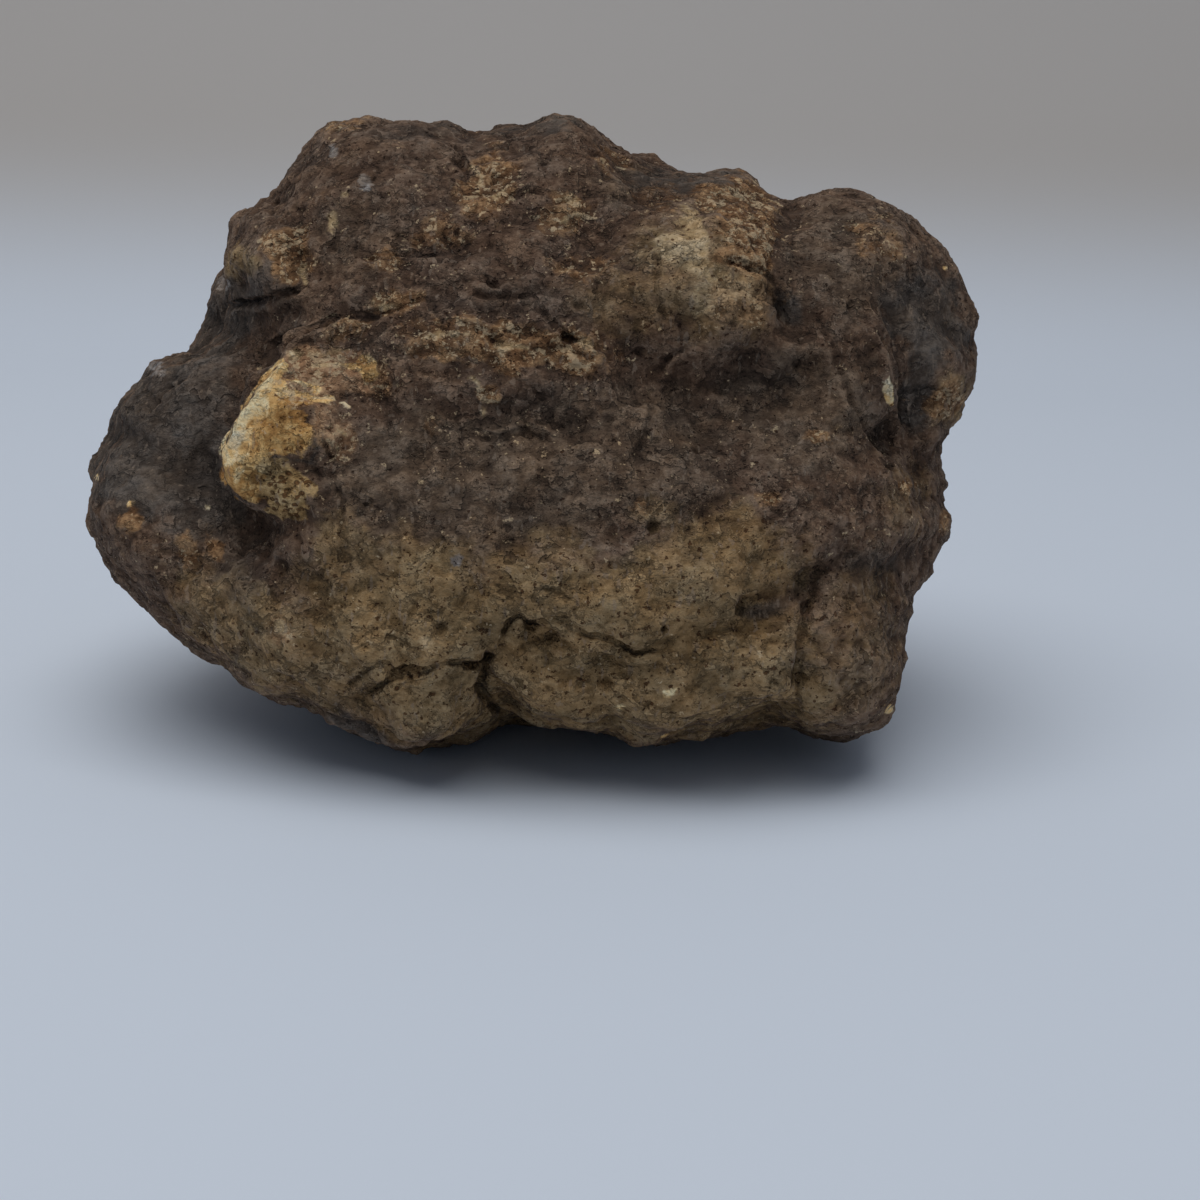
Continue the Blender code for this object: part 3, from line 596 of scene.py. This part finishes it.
def zone(name, points, places, facing, wander):
    """How strong a zone is: by its patches and streaks in front, and its far patches elsewhere."""
    front = np.zeros(len(points))
    for x, y, half_width, half_height, turn, strength in PATCHES[name]:
        stray = min(MOST_WANDER, min(half_width, half_height) / WANDER_PATCH)
        away = oval(places + stray * wander, x, y, half_width, half_height, turn)
        front = np.maximum(front, strength * (1.0 - smoothstep(*PATCH_EDGE, away)))
    strayed = places + STREAK_WANDER * wander
    for line, half_width, strength in STREAKS.get(name, ()):
        distance, _, share = along(line, strayed)
        taper = 0.5 + 2.0 * np.sqrt(np.clip(share * (1.0 - share), 0.0, 0.0625))
        away = distance / (half_width * taper)
        front = np.maximum(front, strength * (1.0 - smoothstep(*STREAK_EDGE, away)))
    far = np.zeros(len(points))
    strayed = points + FAR_WANDER * np.column_stack((wander, wander[:, :1]))
    for middle, reach, strength in FAR_PATCHES[name]:
        away = np.linalg.norm(strayed - middle, axis=1) / reach
        far = np.maximum(far, strength * (1.0 - smoothstep(*FAR_EDGE, away)))
    return front * facing + far * (1.0 - facing)


def zones(points, normals):
    """Every zone's strength at each place, and how far each place belongs to the front."""
    facing = smoothstep(*FRONT_FACES, towards_eye(points, normals))
    wander = [rough(points, WANDER_SIZE, 4, seed, fade=0.7) for seed in (31, 47)]
    wander = WANDER_PX * np.column_stack(wander)
    places = seen(points)
    found = {name: zone(name, points, places, facing, wander) for name in PATCHES}
    across, down = places.T
    beside = (across > CHERT_LEFT) & (across < CHERT_RIGHT) & (down > CHERT_TOP)
    ahead = smoothstep(*CHERT_AHEAD, -points[:, 1])
    for name in ("chert", "amber", "olive", "white"):
        found[name] = np.where(beside, found[name] * ahead, found[name])
    return found, facing, places, wander


# ---- sculpting


def mesh_points(mesh):
    """The mesh's places in mm and its normals."""
    count = 3 * len(mesh.vertices)
    points, normals = np.empty(count, np.float32), np.empty(count, np.float32)
    mesh.vertices.foreach_get("co", points)
    mesh.vertices.foreach_get("normal", normals)
    return 1000.0 * points.reshape(-1, 3).astype(float), normals.reshape(-1, 3).astype(float)


def set_points(mesh, points):
    """Moves the mesh's points to these, in mm."""
    mesh.vertices.foreach_set("co", (points / 1000.0).astype(np.float32).ravel())
    mesh.update()


def shaped(mesh, *modifiers):
    """A new mesh: this one after modifiers, each given as (kind, settings)."""
    obj = bpy.data.objects.new("working", mesh)
    link(obj)
    for kind, settings in modifiers:
        modifier = obj.modifiers.new(kind.lower(), kind)
        for name, value in settings.items():
            setattr(modifier, name, value)
    graph = bpy.context.evaluated_depsgraph_get()
    made = bpy.data.meshes.new_from_object(obj.evaluated_get(graph))
    bpy.data.objects.remove(obj)
    bpy.data.meshes.remove(mesh)
    return made


def voxelled(mesh, size, smoothing):
    """The mesh rebuilt from even faces of about size mm, then smoothed."""
    return shaped(
        mesh,
        ("REMESH", {"mode": "VOXEL", "voxel_size": size / 1000.0}),
        ("SMOOTH", {"factor": 0.5, "iterations": smoothing}),
    )


def evenness(found):
    """Where the rind is smoother: 1 on chert, and less on the dark rind and painted shade."""
    return np.clip(np.maximum(found["chert"], 0.6 * found["dark_rind_and_shade"]), 0.0, 1.0)


def broad_relief(points, normals):
    """Knobs, ledges, cracks and pits from a step away."""
    found, facing, places, wander = zones(points, normals)
    height = sum(rise * rough(points, size, 2, seed) for size, rise, seed in BROAD_LUMPS)
    height += layers(points, *BROAD_LAYERS)
    height -= creases(points * LEVEL_GRAIN, *BROAD_CREASES)
    height -= hollows(points, *BROAD_HOLLOWS)
    height = height * (1.0 - BROAD_EVENING * evenness(found)) + BROAD_LIFT
    for middle, reach, rise in SWELLS:
        height += rise * np.exp(-(np.linalg.norm(points - middle, axis=1) / reach) ** 2)
    marks = crack_relief(places + CRACK_WANDER * wander)
    marks = marks + dent_relief(places + 0.6 * (0.3 * wander))
    marks = marks + crest_relief(places + CREST_WANDER * wander)
    return height + marks * facing + trim_relief(points, places)


def fine_relief(points, normals):
    """Grit, pores, crumbs and wrinkles."""
    found = zones(points, normals)[0]
    crust = np.clip(np.maximum(found["ochre"], 0.7 * found["cream"]), 0.0, 1.0)
    even = evenness(found)
    size, rise = FINE_GRAIN
    height = rise * rough(points * NEAR_LEVEL_GRAIN, size, 3, seed=12, fade=0.65)
    height += layers(points, *FINE_LAYERS)
    height -= creases(points, *FINE_CREASES)
    size, rise = CRUST_HUMPS
    height += crust * rise * billow(points, size, 2, seed=21)
    height *= 1.0 - FINE_EVENING * even
    worn = 0.5 + 0.5 * rough(points, WORN_SIZE, 2, seed=25)
    spacing, reach, depth = ROUND_PITS
    close = scatter(points * NEAR_LEVEL_GRAIN, spacing, reach, 0.05 + 0.3 * worn, seed=8)
    pits = depth * smoothstep(0.0, 0.8, close) + hollows(points, *FINE_HOLLOWS)
    spacing, reach, share, rise = CRUMBS
    crumbs = smoothstep(0.0, 0.9, scatter(points, spacing, reach, share, seed=19))
    return height - (1.0 - PIT_EVENING * even) * pits + rise * crust * crumbs


def raised(mesh, relief):
    """The mesh moved out along its normals by a relief, except where it rests."""
    points, normals = mesh_points(mesh)
    height = relief(points, normals) * smoothstep(*FOOT_BAND, points[:, 2])
    set_points(mesh, points + height[:, None] * normals)
    return mesh


def fitted(mesh):
    """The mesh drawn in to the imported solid's box, with its foot on the floor."""
    points, _ = mesh_points(mesh)
    low, high = points.min(axis=0), points.max(axis=0)
    want_low, want_high = 1000.0 * np.array(cad_low), 1000.0 * np.array(cad_high)
    set_points(mesh, want_low + (points - low) * (want_high - want_low) / (high - low))
    return mesh


def without_flaps(mesh):
    """The mesh with each corner of only two edges drawn in, so that no face lies on another."""
    form = bmesh.new()
    form.from_mesh(mesh)
    loose = [corner for corner in form.verts if len(corner.link_edges) == 2]
    onto = {corner: corner.link_edges[0].other_vert(corner) for corner in loose}
    bmesh.ops.weld_verts(form, targetmap=onto)
    form.to_mesh(mesh)
    form.free()
    return mesh


def smoothed(values, edges, count, rounds):
    """Values at the points, each replaced by the mean of its neighbours', several times over."""
    ends = np.concatenate((edges[:, 0], edges[:, 1]))
    others = np.concatenate((edges[:, 1], edges[:, 0]))
    near = np.maximum(np.bincount(ends, minlength=count), 1)
    for _ in range(rounds):
        sums = [np.bincount(ends, weights=column[others], minlength=count) for column in values.T]
        values = np.column_stack(sums) / near[:, None]
    return values


def height_over(mesh, rounds):
    """How far each point stands out, in mm, from the surface smoothed over so many rounds."""
    points, normals = mesh_points(mesh)
    edges = np.empty(2 * len(mesh.edges), np.int32)
    mesh.edges.foreach_get("vertices", edges)
    level = smoothed(points, edges.reshape(-1, 2), len(points), rounds)
    return ((points - level) * normals).sum(axis=1)


def painted(mesh):
    """Each zone's strength, and the fine and the broad relief, as attributes for the material."""
    points, normals = mesh_points(mesh)
    found, facing, places, wander = zones(points, normals)
    strayed = places + CRACK_WANDER * CRACK_WANDER * wander
    offset, distance, darkness = nearest_crack(strayed)
    found.update(crack_offset=offset, crack_distance=distance, crack_strength=darkness * facing)
    for name, (rounds, full) in LEVEL_ROUNDS.items():
        found[name] = np.clip(height_over(mesh, rounds) / full, -1.0, 1.0)
    for name, values in found.items():
        kept = mesh.attributes.new(name, "FLOAT", "POINT")
        kept.data.foreach_set("value", values.astype(np.float32))
    return mesh


def stone_mesh(node):
    """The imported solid's form, sculpted down to its grit and thinned to TRIANGLES."""
    mesh = voxelled(node.data.copy(), FORM_VOXEL, FORM_SMOOTHING)
    mesh = voxelled(raised(mesh, broad_relief), FINE_VOXEL, FINE_SMOOTHING)
    mesh = raised(mesh, fine_relief)
    ratio = TRIANGLES / (2.0 * len(mesh.polygons))
    mesh = without_flaps(shaped(mesh, ("DECIMATE", {"ratio": ratio})))
    return painted(fitted(mesh))


# ---- material

# Tones of each zone, dark, middle and light, as linear colours, lowest layer first. The last two
# numbers are how ragged its border is and how wide the border's fade is.
TONES = (
    ("rind", (0.048, 0.027, 0.017), (0.112, 0.066, 0.042), (0.262, 0.176, 0.120), 0.0, 0.0),
    ("grey", (0.052, 0.032, 0.021), (0.118, 0.078, 0.051), (0.255, 0.182, 0.126), 0.4, 0.7),
    ("clay", (0.128, 0.074, 0.029), (0.262, 0.166, 0.077), (0.430, 0.292, 0.152), 0.5, 1.0),
    # Dark rind, and the painted shade of the front's valley and hollows.
    ("dark_rind_and_shade", (0.040, 0.028, 0.021), (0.081, 0.060, 0.046), (0.173, 0.138, 0.111), 0.35, 0.8),
    ("ochre", (0.062, 0.029, 0.013), (0.172, 0.088, 0.040), (0.490, 0.296, 0.150), 0.9, 0.6),
    ("amber", (0.130, 0.052, 0.016), (0.455, 0.235, 0.074), (0.830, 0.535, 0.220), 0.6, 0.4),
    ("olive", (0.110, 0.060, 0.022), (0.370, 0.235, 0.100), (0.710, 0.500, 0.255), 0.6, 0.4),
    ("pink", (0.145, 0.070, 0.034), (0.360, 0.205, 0.112), (0.700, 0.470, 0.285), 0.6, 0.7),
    ("lilac", (0.152, 0.118, 0.098), (0.256, 0.214, 0.183), (0.419, 0.367, 0.332), 0.5, 0.4),
    ("cream", (0.190, 0.120, 0.058), (0.440, 0.305, 0.160), (0.720, 0.540, 0.330), 0.5, 0.8),
    ("chert", (0.330, 0.160, 0.052), (0.870, 0.550, 0.225), (0.980, 0.820, 0.500), 0.7, 0.4),
    ("white", (0.450, 0.300, 0.150), (0.880, 0.675, 0.400), (0.990, 0.880, 0.640), 0.7, 0.5),
)
TONE_STOPS = (0.22, 0.5, 0.8)
# Shares of the grains below in how light the rind is, and then in its bump.
MOTTLE_SHARES = {"mottle": 0.55, "medium": 0.45, "speckle": 0.45, "grit": 0.2, "patchy": 0.45}
BUMP_SHARES = {"medium": 0.9, "grit": 0.3, "pores": -0.5, "crack": -0.6, "lip": 0.3}
RELIEF_SHADING_SHARE = 0.08  # how far the relief's own height lightens crests and darkens hollows, as painted highlight and shade
MIDDLE_LEVEL = 0.49
FLAKE_COLOUR, FLAKE_SHARE = (0.620, 0.460, 0.280, 1.0), 0.75
STREAK_COLOUR, STREAK_SHARE = (0.300, 0.225, 0.165, 1.0), 0.4
COOL, WARM = (0.93, 0.98, 1.04, 1.0), (1.05, 1.0, 0.94, 1.0)  # tints that drift over the rind
PLAIN, PORE_SHADE = (1.0, 1.0, 1.0, 1.0), (0.36, 0.27, 0.22, 1.0)
ROUGHNESS = 0.9
SPECULAR = 0.22
GRIT_DEPTH = 0.001  # metres
SQUEEZE = (1.0, 1.0, 1.2)

# Grain of the finish: scale per metre, detail and roughness.
GRAIN = {
    "patchy": (80.0, 3.0, 0.55),
    "warmth": (170.0, 4.0, 0.55),
    "broken": (260.0, 1.0, 0.55),
    "edges": (330.0, 5.0, 0.72),
    "mottle": (380.0, 4.0, 0.6),
    "pitted": (520.0, 3.0, 0.62),
    "medium": (600.0, 3.0, 0.6),
    "streaks": (900.0, 1.0, 0.55),
    "jagged": (1000.0, 2.0, 0.6),
    "holes": (1150.0, 2.0, 0.5),
    "speckle": (1250.0, 3.0, 0.6),
    "grit": (2700.0, 2.0, 0.6),
}
PORE_SCALE = 640.0
CLUMPS = ((420.0, 4.0, 0.15), (820.0, 3.0, 0.165))  # scale per metre, detail, bar
SCALE_LAYERS = ((150.0, 0.45), (310.0, 0.3), (620.0, 0.18))  # scale per metre and rise
SCALE_EDGE = (0.488, 0.512)  # the noise's values over which a scale's edge rises
FOOT_AT, RIM_AT = 0.479, 0.519  # its values at the line of painted shade below the edge and of painted highlight on it
# How dark the painted shade below flake edges and in cracks is, and how light the painted highlights
# on flake edges and crack lips are.
FOOT_SHADE = 0.36
RIM_HIGHLIGHT = 0.13
CRACK_SHADE = 0.62
LIP_HIGHLIGHT = 0.10


def add(tree, kind, inputs=(), **settings):
    """A shader node. Each of its inputs is a value or another node's output."""
    node = tree.nodes.new("ShaderNode" + kind)
    for name, value in settings.items():
        setattr(node, name, value)
    for key, value in dict(inputs).items():
        if isinstance(value, bpy.types.NodeSocket):
            tree.links.new(value, node.inputs[key])
        else:
            node.inputs[key].default_value = value
    return node


def maths(tree, operation, first, second=0.0):
    return add(tree, "Math", {0: first, 1: second}, operation=operation).outputs[0]


def times(tree, first, second):
    return maths(tree, "MULTIPLY", first, second)


def plus(tree, first, second):
    return maths(tree, "ADD", first, second)


def minus(tree, first, second):
    return maths(tree, "SUBTRACT", first, second)


def ranged(tree, value, low, high, to_low=0.0, to_high=1.0):
    """The value's range from low to high, eased onto another range."""
    inputs = {"Value": value, "From Min": low, "From Max": high, "To Min": to_low, "To Max": to_high}
    return add(tree, "MapRange", inputs, interpolation_type="SMOOTHSTEP").outputs[0]


def mixed(tree, share, first, second, blend="MIX"):
    """Two colours mixed, with the second by its share."""
    inputs = {0: share, 6: first, 7: second}
    return add(tree, "Mix", inputs, data_type="RGBA", blend_type=blend).outputs[2]


def grain(tree, place, scale, detail, roughness):
    """Noise about 0.5, its scale per metre."""
    inputs = {"Vector": place, "Scale": scale, "Detail": detail, "Roughness": roughness}
    return add(tree, "TexNoise", inputs).outputs["Fac"]


def mark(tree, name):
    """What painted() left on the mesh under a name."""
    return add(tree, "Attribute", attribute_name=name).outputs["Fac"]


def tone(tree, value, dark, middle, light):
    """A colour that runs through three tones as the value rises."""
    node = add(tree, "ValToRGB", {"Fac": value})
    stops = node.color_ramp.elements
    stops[0].position, _, stops[1].position = TONE_STOPS
    stops[0].color, stops[1].color = (*dark, 1.0), (*light, 1.0)
    stops.new(TONE_STOPS[1]).color = (*middle, 1.0)
    return node.outputs["Color"]


def squeezed(tree, place, factors):
    """The place with each of its directions stretched by a factor."""
    return add(tree, "VectorMath", {0: place, 1: factors}, operation="MULTIPLY").outputs[0]


def leaning(tree, value, share, start):
    """Start plus a share of how far the value is over 0.5."""
    return plus(tree, times(tree, minus(tree, value, 0.5), share), start)


def blended(tree, parts, shares, start):
    """Start plus each part's share."""
    for name, share in shares.items():
        start = leaning(tree, parts[name], share, start)
    return start


def scales(tree, place):
    """(rise, foot, rim) of flat flakes that peel from the rind.

    Rise is 1 on a flake and 0 off it, foot a dark line of painted shade below its edge, and
    rim a light line of painted highlight on it.
    """
    rise, foot, rim = 0.0, 0.0, 0.0
    for scale, height in SCALE_LAYERS:
        field = grain(tree, place, scale, 4.0, 0.6)
        here = ranged(tree, grain(tree, place, 0.6 * scale, 1.0, 0.6), 0.46, 0.56)
        step = times(tree, ranged(tree, field, *SCALE_EDGE), here)
        rise = plus(tree, times(tree, step, height), rise)
        below = maths(tree, "ABSOLUTE", minus(tree, field, FOOT_AT))
        above = maths(tree, "ABSOLUTE", minus(tree, field, RIM_AT))
        below = times(tree, ranged(tree, below, 0.006, 0.036, 1.0, 0.0), here)
        above = times(tree, ranged(tree, above, 0.006, 0.020, 1.0, 0.0), here)
        foot = maths(tree, "MAXIMUM", below, foot)
        rim = maths(tree, "MAXIMUM", above, rim)
    return rise, foot, rim


def round_pores(tree, place):
    """Close round pores where the rind is spongy: 1 in them and 0 between."""
    inputs = {"Vector": place, "Scale": PORE_SCALE, "Randomness": 1.0}
    gap = add(tree, "TexVoronoi", inputs).outputs["Distance"]
    crust = times(tree, mark(tree, "ochre"), 0.52)
    spongy = ranged(tree, maths(tree, "MAXIMUM", mark(tree, "olive"), crust), 0.3, 0.9)
    return times(tree, ranged(tree, gap, 0.2, 0.36, 1.0, 0.0), spongy)


def crack_lines(tree, place):
    """(line, lip) of the named cracks: painted shade in the line, painted highlight on its left lip.
    """
    jagged = grain(tree, place, *GRAIN["jagged"])
    offset = leaning(tree, jagged, 2.4, mark(tree, "crack_offset"))
    near = ranged(tree, mark(tree, "crack_distance"), 2.0, 4.5, 1.0, 0.0)
    broken = ranged(tree, grain(tree, place, *GRAIN["broken"]), 0.36, 0.55, 0.35, 1.0)
    drawn = times(tree, broken, mark(tree, "crack_strength"))
    near = times(tree, near, drawn)
    line = ranged(tree, maths(tree, "ABSOLUTE", offset), 0.25, 1.05, 1.0, 0.0)
    aside = maths(tree, "ABSOLUTE", minus(tree, offset, 1.9))
    lip = ranged(tree, aside, 0.3, 1.3, 1.0, 0.0)
    return times(tree, line, near), times(tree, lip, near)


def streaks(tree, place):
    """Sparse short upright scratches: 1 along them and 0 between."""
    drawn = squeezed(tree, place, (1.0, 1.0, 0.3))
    return ranged(tree, grain(tree, drawn, *GRAIN["streaks"]), 0.65, 0.70)


def flakes(tree, place):
    """Pale clumps and crumbs: 1 on them and 0 between, more of them where the rind is ochre."""
    bare = minus(tree, mark(tree, "ochre"), mark(tree, "dark_rind_and_shade"))
    lean = times(tree, bare, 0.11)
    found = []
    for scale, detail, bar in CLUMPS:
        clump = leaning(tree, grain(tree, place, scale, detail, 0.66), 1.0, lean)
        found.append(ranged(tree, clump, bar, bar + 0.05))
    return maths(tree, "MAXIMUM", *found)


def pores_in(tree, place):
    """Ragged pores and round ones: 1 in them and 0 on whole rind."""
    smooth = maths(tree, "MAXIMUM", mark(tree, "chert"), mark(tree, "dark_rind_and_shade"))
    clay = times(tree, mark(tree, "clay"), 0.3)
    spongy = plus(tree, mark(tree, "olive"), clay)
    open_rind = times(tree, minus(tree, spongy, smooth), 0.06)
    found = round_pores(tree, place)
    for name, full in (("holes", 0.34), ("pitted", 0.325)):
        field = minus(tree, grain(tree, place, *GRAIN[name]), open_rind)
        found = maths(tree, "MAXIMUM", ranged(tree, field, 0.29, full, 1.0, 0.0), found)
    return found


def zone_colours(tree, place, level):
    """The zones' tones laid over each other, each where its zone is strong."""
    edges = grain(tree, place, *GRAIN["edges"])
    colour = tone(tree, level, *TONES[0][1:4])
    for name, dark, middle, light, ragged, fade in TONES[1:]:
        layer = tone(tree, level, dark, middle, light)
        torn = leaning(tree, edges, 2.0 * ragged, mark(tree, name))
        mask = ranged(tree, torn, 0.5 - fade / 2.0, 0.5 + fade / 2.0)
        colour = mixed(tree, mask, colour, layer)
    return colour


def matt_material(name, roughness, specular):
    """(material, node tree, shader) of a new material."""
    material = bpy.data.materials.new(name)
    material.use_nodes = True
    shader = material.node_tree.nodes["Principled BSDF"]
    shader.inputs["Roughness"].default_value = roughness
    shader.inputs["Specular IOR Level"].default_value = specular
    return material, material.node_tree, shader


def stone_material():
    """Earthy rind: mottled zones, painted shade in hollows and pores, painted highlight on crests.
    """
    material, tree, shader = matt_material("rind", ROUGHNESS, SPECULAR)
    object_place = add(tree, "TexCoord").outputs["Object"]
    place = squeezed(tree, object_place, SQUEEZE)
    parts = {name: grain(tree, place, *GRAIN[name]) for name in MOTTLE_SHARES}
    parts["pores"] = pores_in(tree, place)
    parts["crack"], parts["lip"] = crack_lines(tree, place)
    rise, foot, rim = scales(tree, place)

    # The relief's height paints highlights on crests and shade in hollows.
    fine = times(tree, mark(tree, "fine"), RELIEF_SHADING_SHARE)
    wide = times(tree, mark(tree, "broad"), RELIEF_SHADING_SHARE)
    # Light lines on flake edges and crack lips: painted highlights.
    worn = plus(tree, times(tree, rim, RIM_HIGHLIGHT), MIDDLE_LEVEL)
    worn = plus(tree, times(tree, parts["lip"], LIP_HIGHLIGHT), worn)
    start = plus(tree, plus(tree, fine, wide), worn)
    level = blended(tree, parts, MOTTLE_SHARES, start)
    colour = zone_colours(tree, place, level)

    streak = times(tree, streaks(tree, object_place), STREAK_SHARE)
    colour = mixed(tree, streak, colour, STREAK_COLOUR)
    flake = times(tree, flakes(tree, place), FLAKE_SHARE)
    colour = mixed(tree, flake, colour, FLAKE_COLOUR)
    warmth = ranged(tree, grain(tree, place, *GRAIN["warmth"]), 0.3, 0.7)
    colour = mixed(tree, 1.0, colour, mixed(tree, warmth, COOL, WARM), "MULTIPLY")
    deep = mixed(tree, parts["pores"], PLAIN, PORE_SHADE)
    colour = mixed(tree, 1.0, colour, deep, "MULTIPLY")
    # Painted shade: dark lines below flake edges, in the cracks, and in the fine relief's hollows.
    shade = ranged(tree, foot, 0.0, 1.0, 1.0, 1.0 - FOOT_SHADE)
    crack = ranged(tree, parts["crack"], 0.0, 1.0, 1.0, 1.0 - CRACK_SHADE)
    hollow_shade = ranged(tree, mark(tree, "fine"), -0.9, 0.0, 0.85, 1.0)
    shade = times(tree, times(tree, shade, crack), hollow_shade)
    colour = mixed(tree, 1.0, colour, shade, "MULTIPLY")
    tree.links.new(colour, shader.inputs["Base Color"])

    height = blended(tree, parts, BUMP_SHARES, rise)
    bump = {"Height": height, "Distance": GRIT_DEPTH, "Strength": 1.0}
    tree.links.new(add(tree, "Bump", bump).outputs["Normal"], shader.inputs["Normal"])
    return material


# ---- floor and light

FLOOR_COLOUR = (0.755, 0.83, 0.94, 1.0)
# The wall's colour is the same paper darkened: painted shade.
SHADED_WALL_COLOUR = (0.505, 0.478, 0.455, 1.0)
PAPER_ROUGHNESS, PAPER_SPECULAR = 0.95, 0.1
WALL_FADE = (-0.03, 0.10)  # heights in metres over which the paper turns from the floor's colour to the wall's painted shade
WALL_AT = 0.42  # metres behind the stone where the paper starts to curve up
WALL_BEND = 0.45  # metres, the curve's radius
PAPER_FRONT, PAPER_TOP, PAPER_HALF = -1.6, 2.2, 2.4  # metres
WORLD_COLOUR = (0.79, 0.89, 1.05, 1.0)
WORLD_STRENGTH = 0.215
LAMP_PLACE, LAMP_TARGET, LAMP_SIZE = (-0.19, -0.34, 1.5), (0.0, 0.0, 0.03), 1.6
LAMP_WATTS, LAMP_COLOUR = 14.7, (1.0, 0.99, 0.97)


def add_stage():
    """A pale sheet of paper: a floor that curves up into a backdrop, with painted shade up the wall.
    """
    turns = [math.radians(6.0 * n) for n in range(16)]
    bend = [(WALL_AT + WALL_BEND * math.sin(t), WALL_BEND * (1.0 - math.cos(t))) for t in turns]
    profile = [(PAPER_FRONT, 0.0), *bend, (bend[-1][0], PAPER_TOP)]
    points = [(side, y, z) for y, z in profile for side in (-PAPER_HALF, PAPER_HALF)]
    faces = [(2 * n, 2 * n + 1, 2 * n + 3, 2 * n + 2) for n in range(len(profile) - 1)]
    mesh = bpy.data.meshes.new("paper")
    mesh.from_pydata(points, [], faces)
    mesh.shade_smooth()
    paper = bpy.data.objects.new("paper", mesh)
    link(paper)
    material, tree, shader = matt_material("paper", PAPER_ROUGHNESS, PAPER_SPECULAR)
    place = add(tree, "TexCoord").outputs["Object"]
    up = add(tree, "SeparateXYZ", {0: place}).outputs["Z"]
    inputs = {"Value": up, "From Min": WALL_FADE[0], "From Max": WALL_FADE[1]}
    fade = add(tree, "MapRange", inputs, interpolation_type="SMOOTHERSTEP").outputs[0]
    tree.links.new(mixed(tree, fade, FLOOR_COLOUR, SHADED_WALL_COLOUR), shader.inputs["Base Color"])
    mesh.materials.append(material)


def add_light():
    """A large soft lamp overhead, turned to the stone, under a cool even sky."""
    data = bpy.data.lights.new("overhead", "AREA")
    data.shape = "SQUARE"
    data.size = LAMP_SIZE
    data.energy = LAMP_WATTS
    data.color = LAMP_COLOUR
    lamp = bpy.data.objects.new("overhead", data)
    way = Vector(LAMP_TARGET) - Vector(LAMP_PLACE)
    turn = way.to_track_quat("-Z", "Y").to_matrix().to_4x4()
    lamp.matrix_world = Matrix.Translation(Vector(LAMP_PLACE)) @ turn
    link(lamp)
    world = bpy.data.worlds.new("studio")
    world.use_nodes = True
    background = world.node_tree.nodes["Background"]
    background.inputs["Color"].default_value = WORLD_COLOUR
    background.inputs["Strength"].default_value = WORLD_STRENGTH
    bpy.context.scene.world = world
    bpy.context.scene.view_settings.view_transform = "Standard"


def main():
    add_camera()
    add_stage()
    add_light()
    stone = bpy.data.objects.new("geode_stone", stone_mesh(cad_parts["geode"]))
    link(stone)
    stone.data.materials.clear()
    stone.data.materials.append(stone_material())
    stone.data.shade_smooth()
    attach(stone, "root")
    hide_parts("geode")


main()
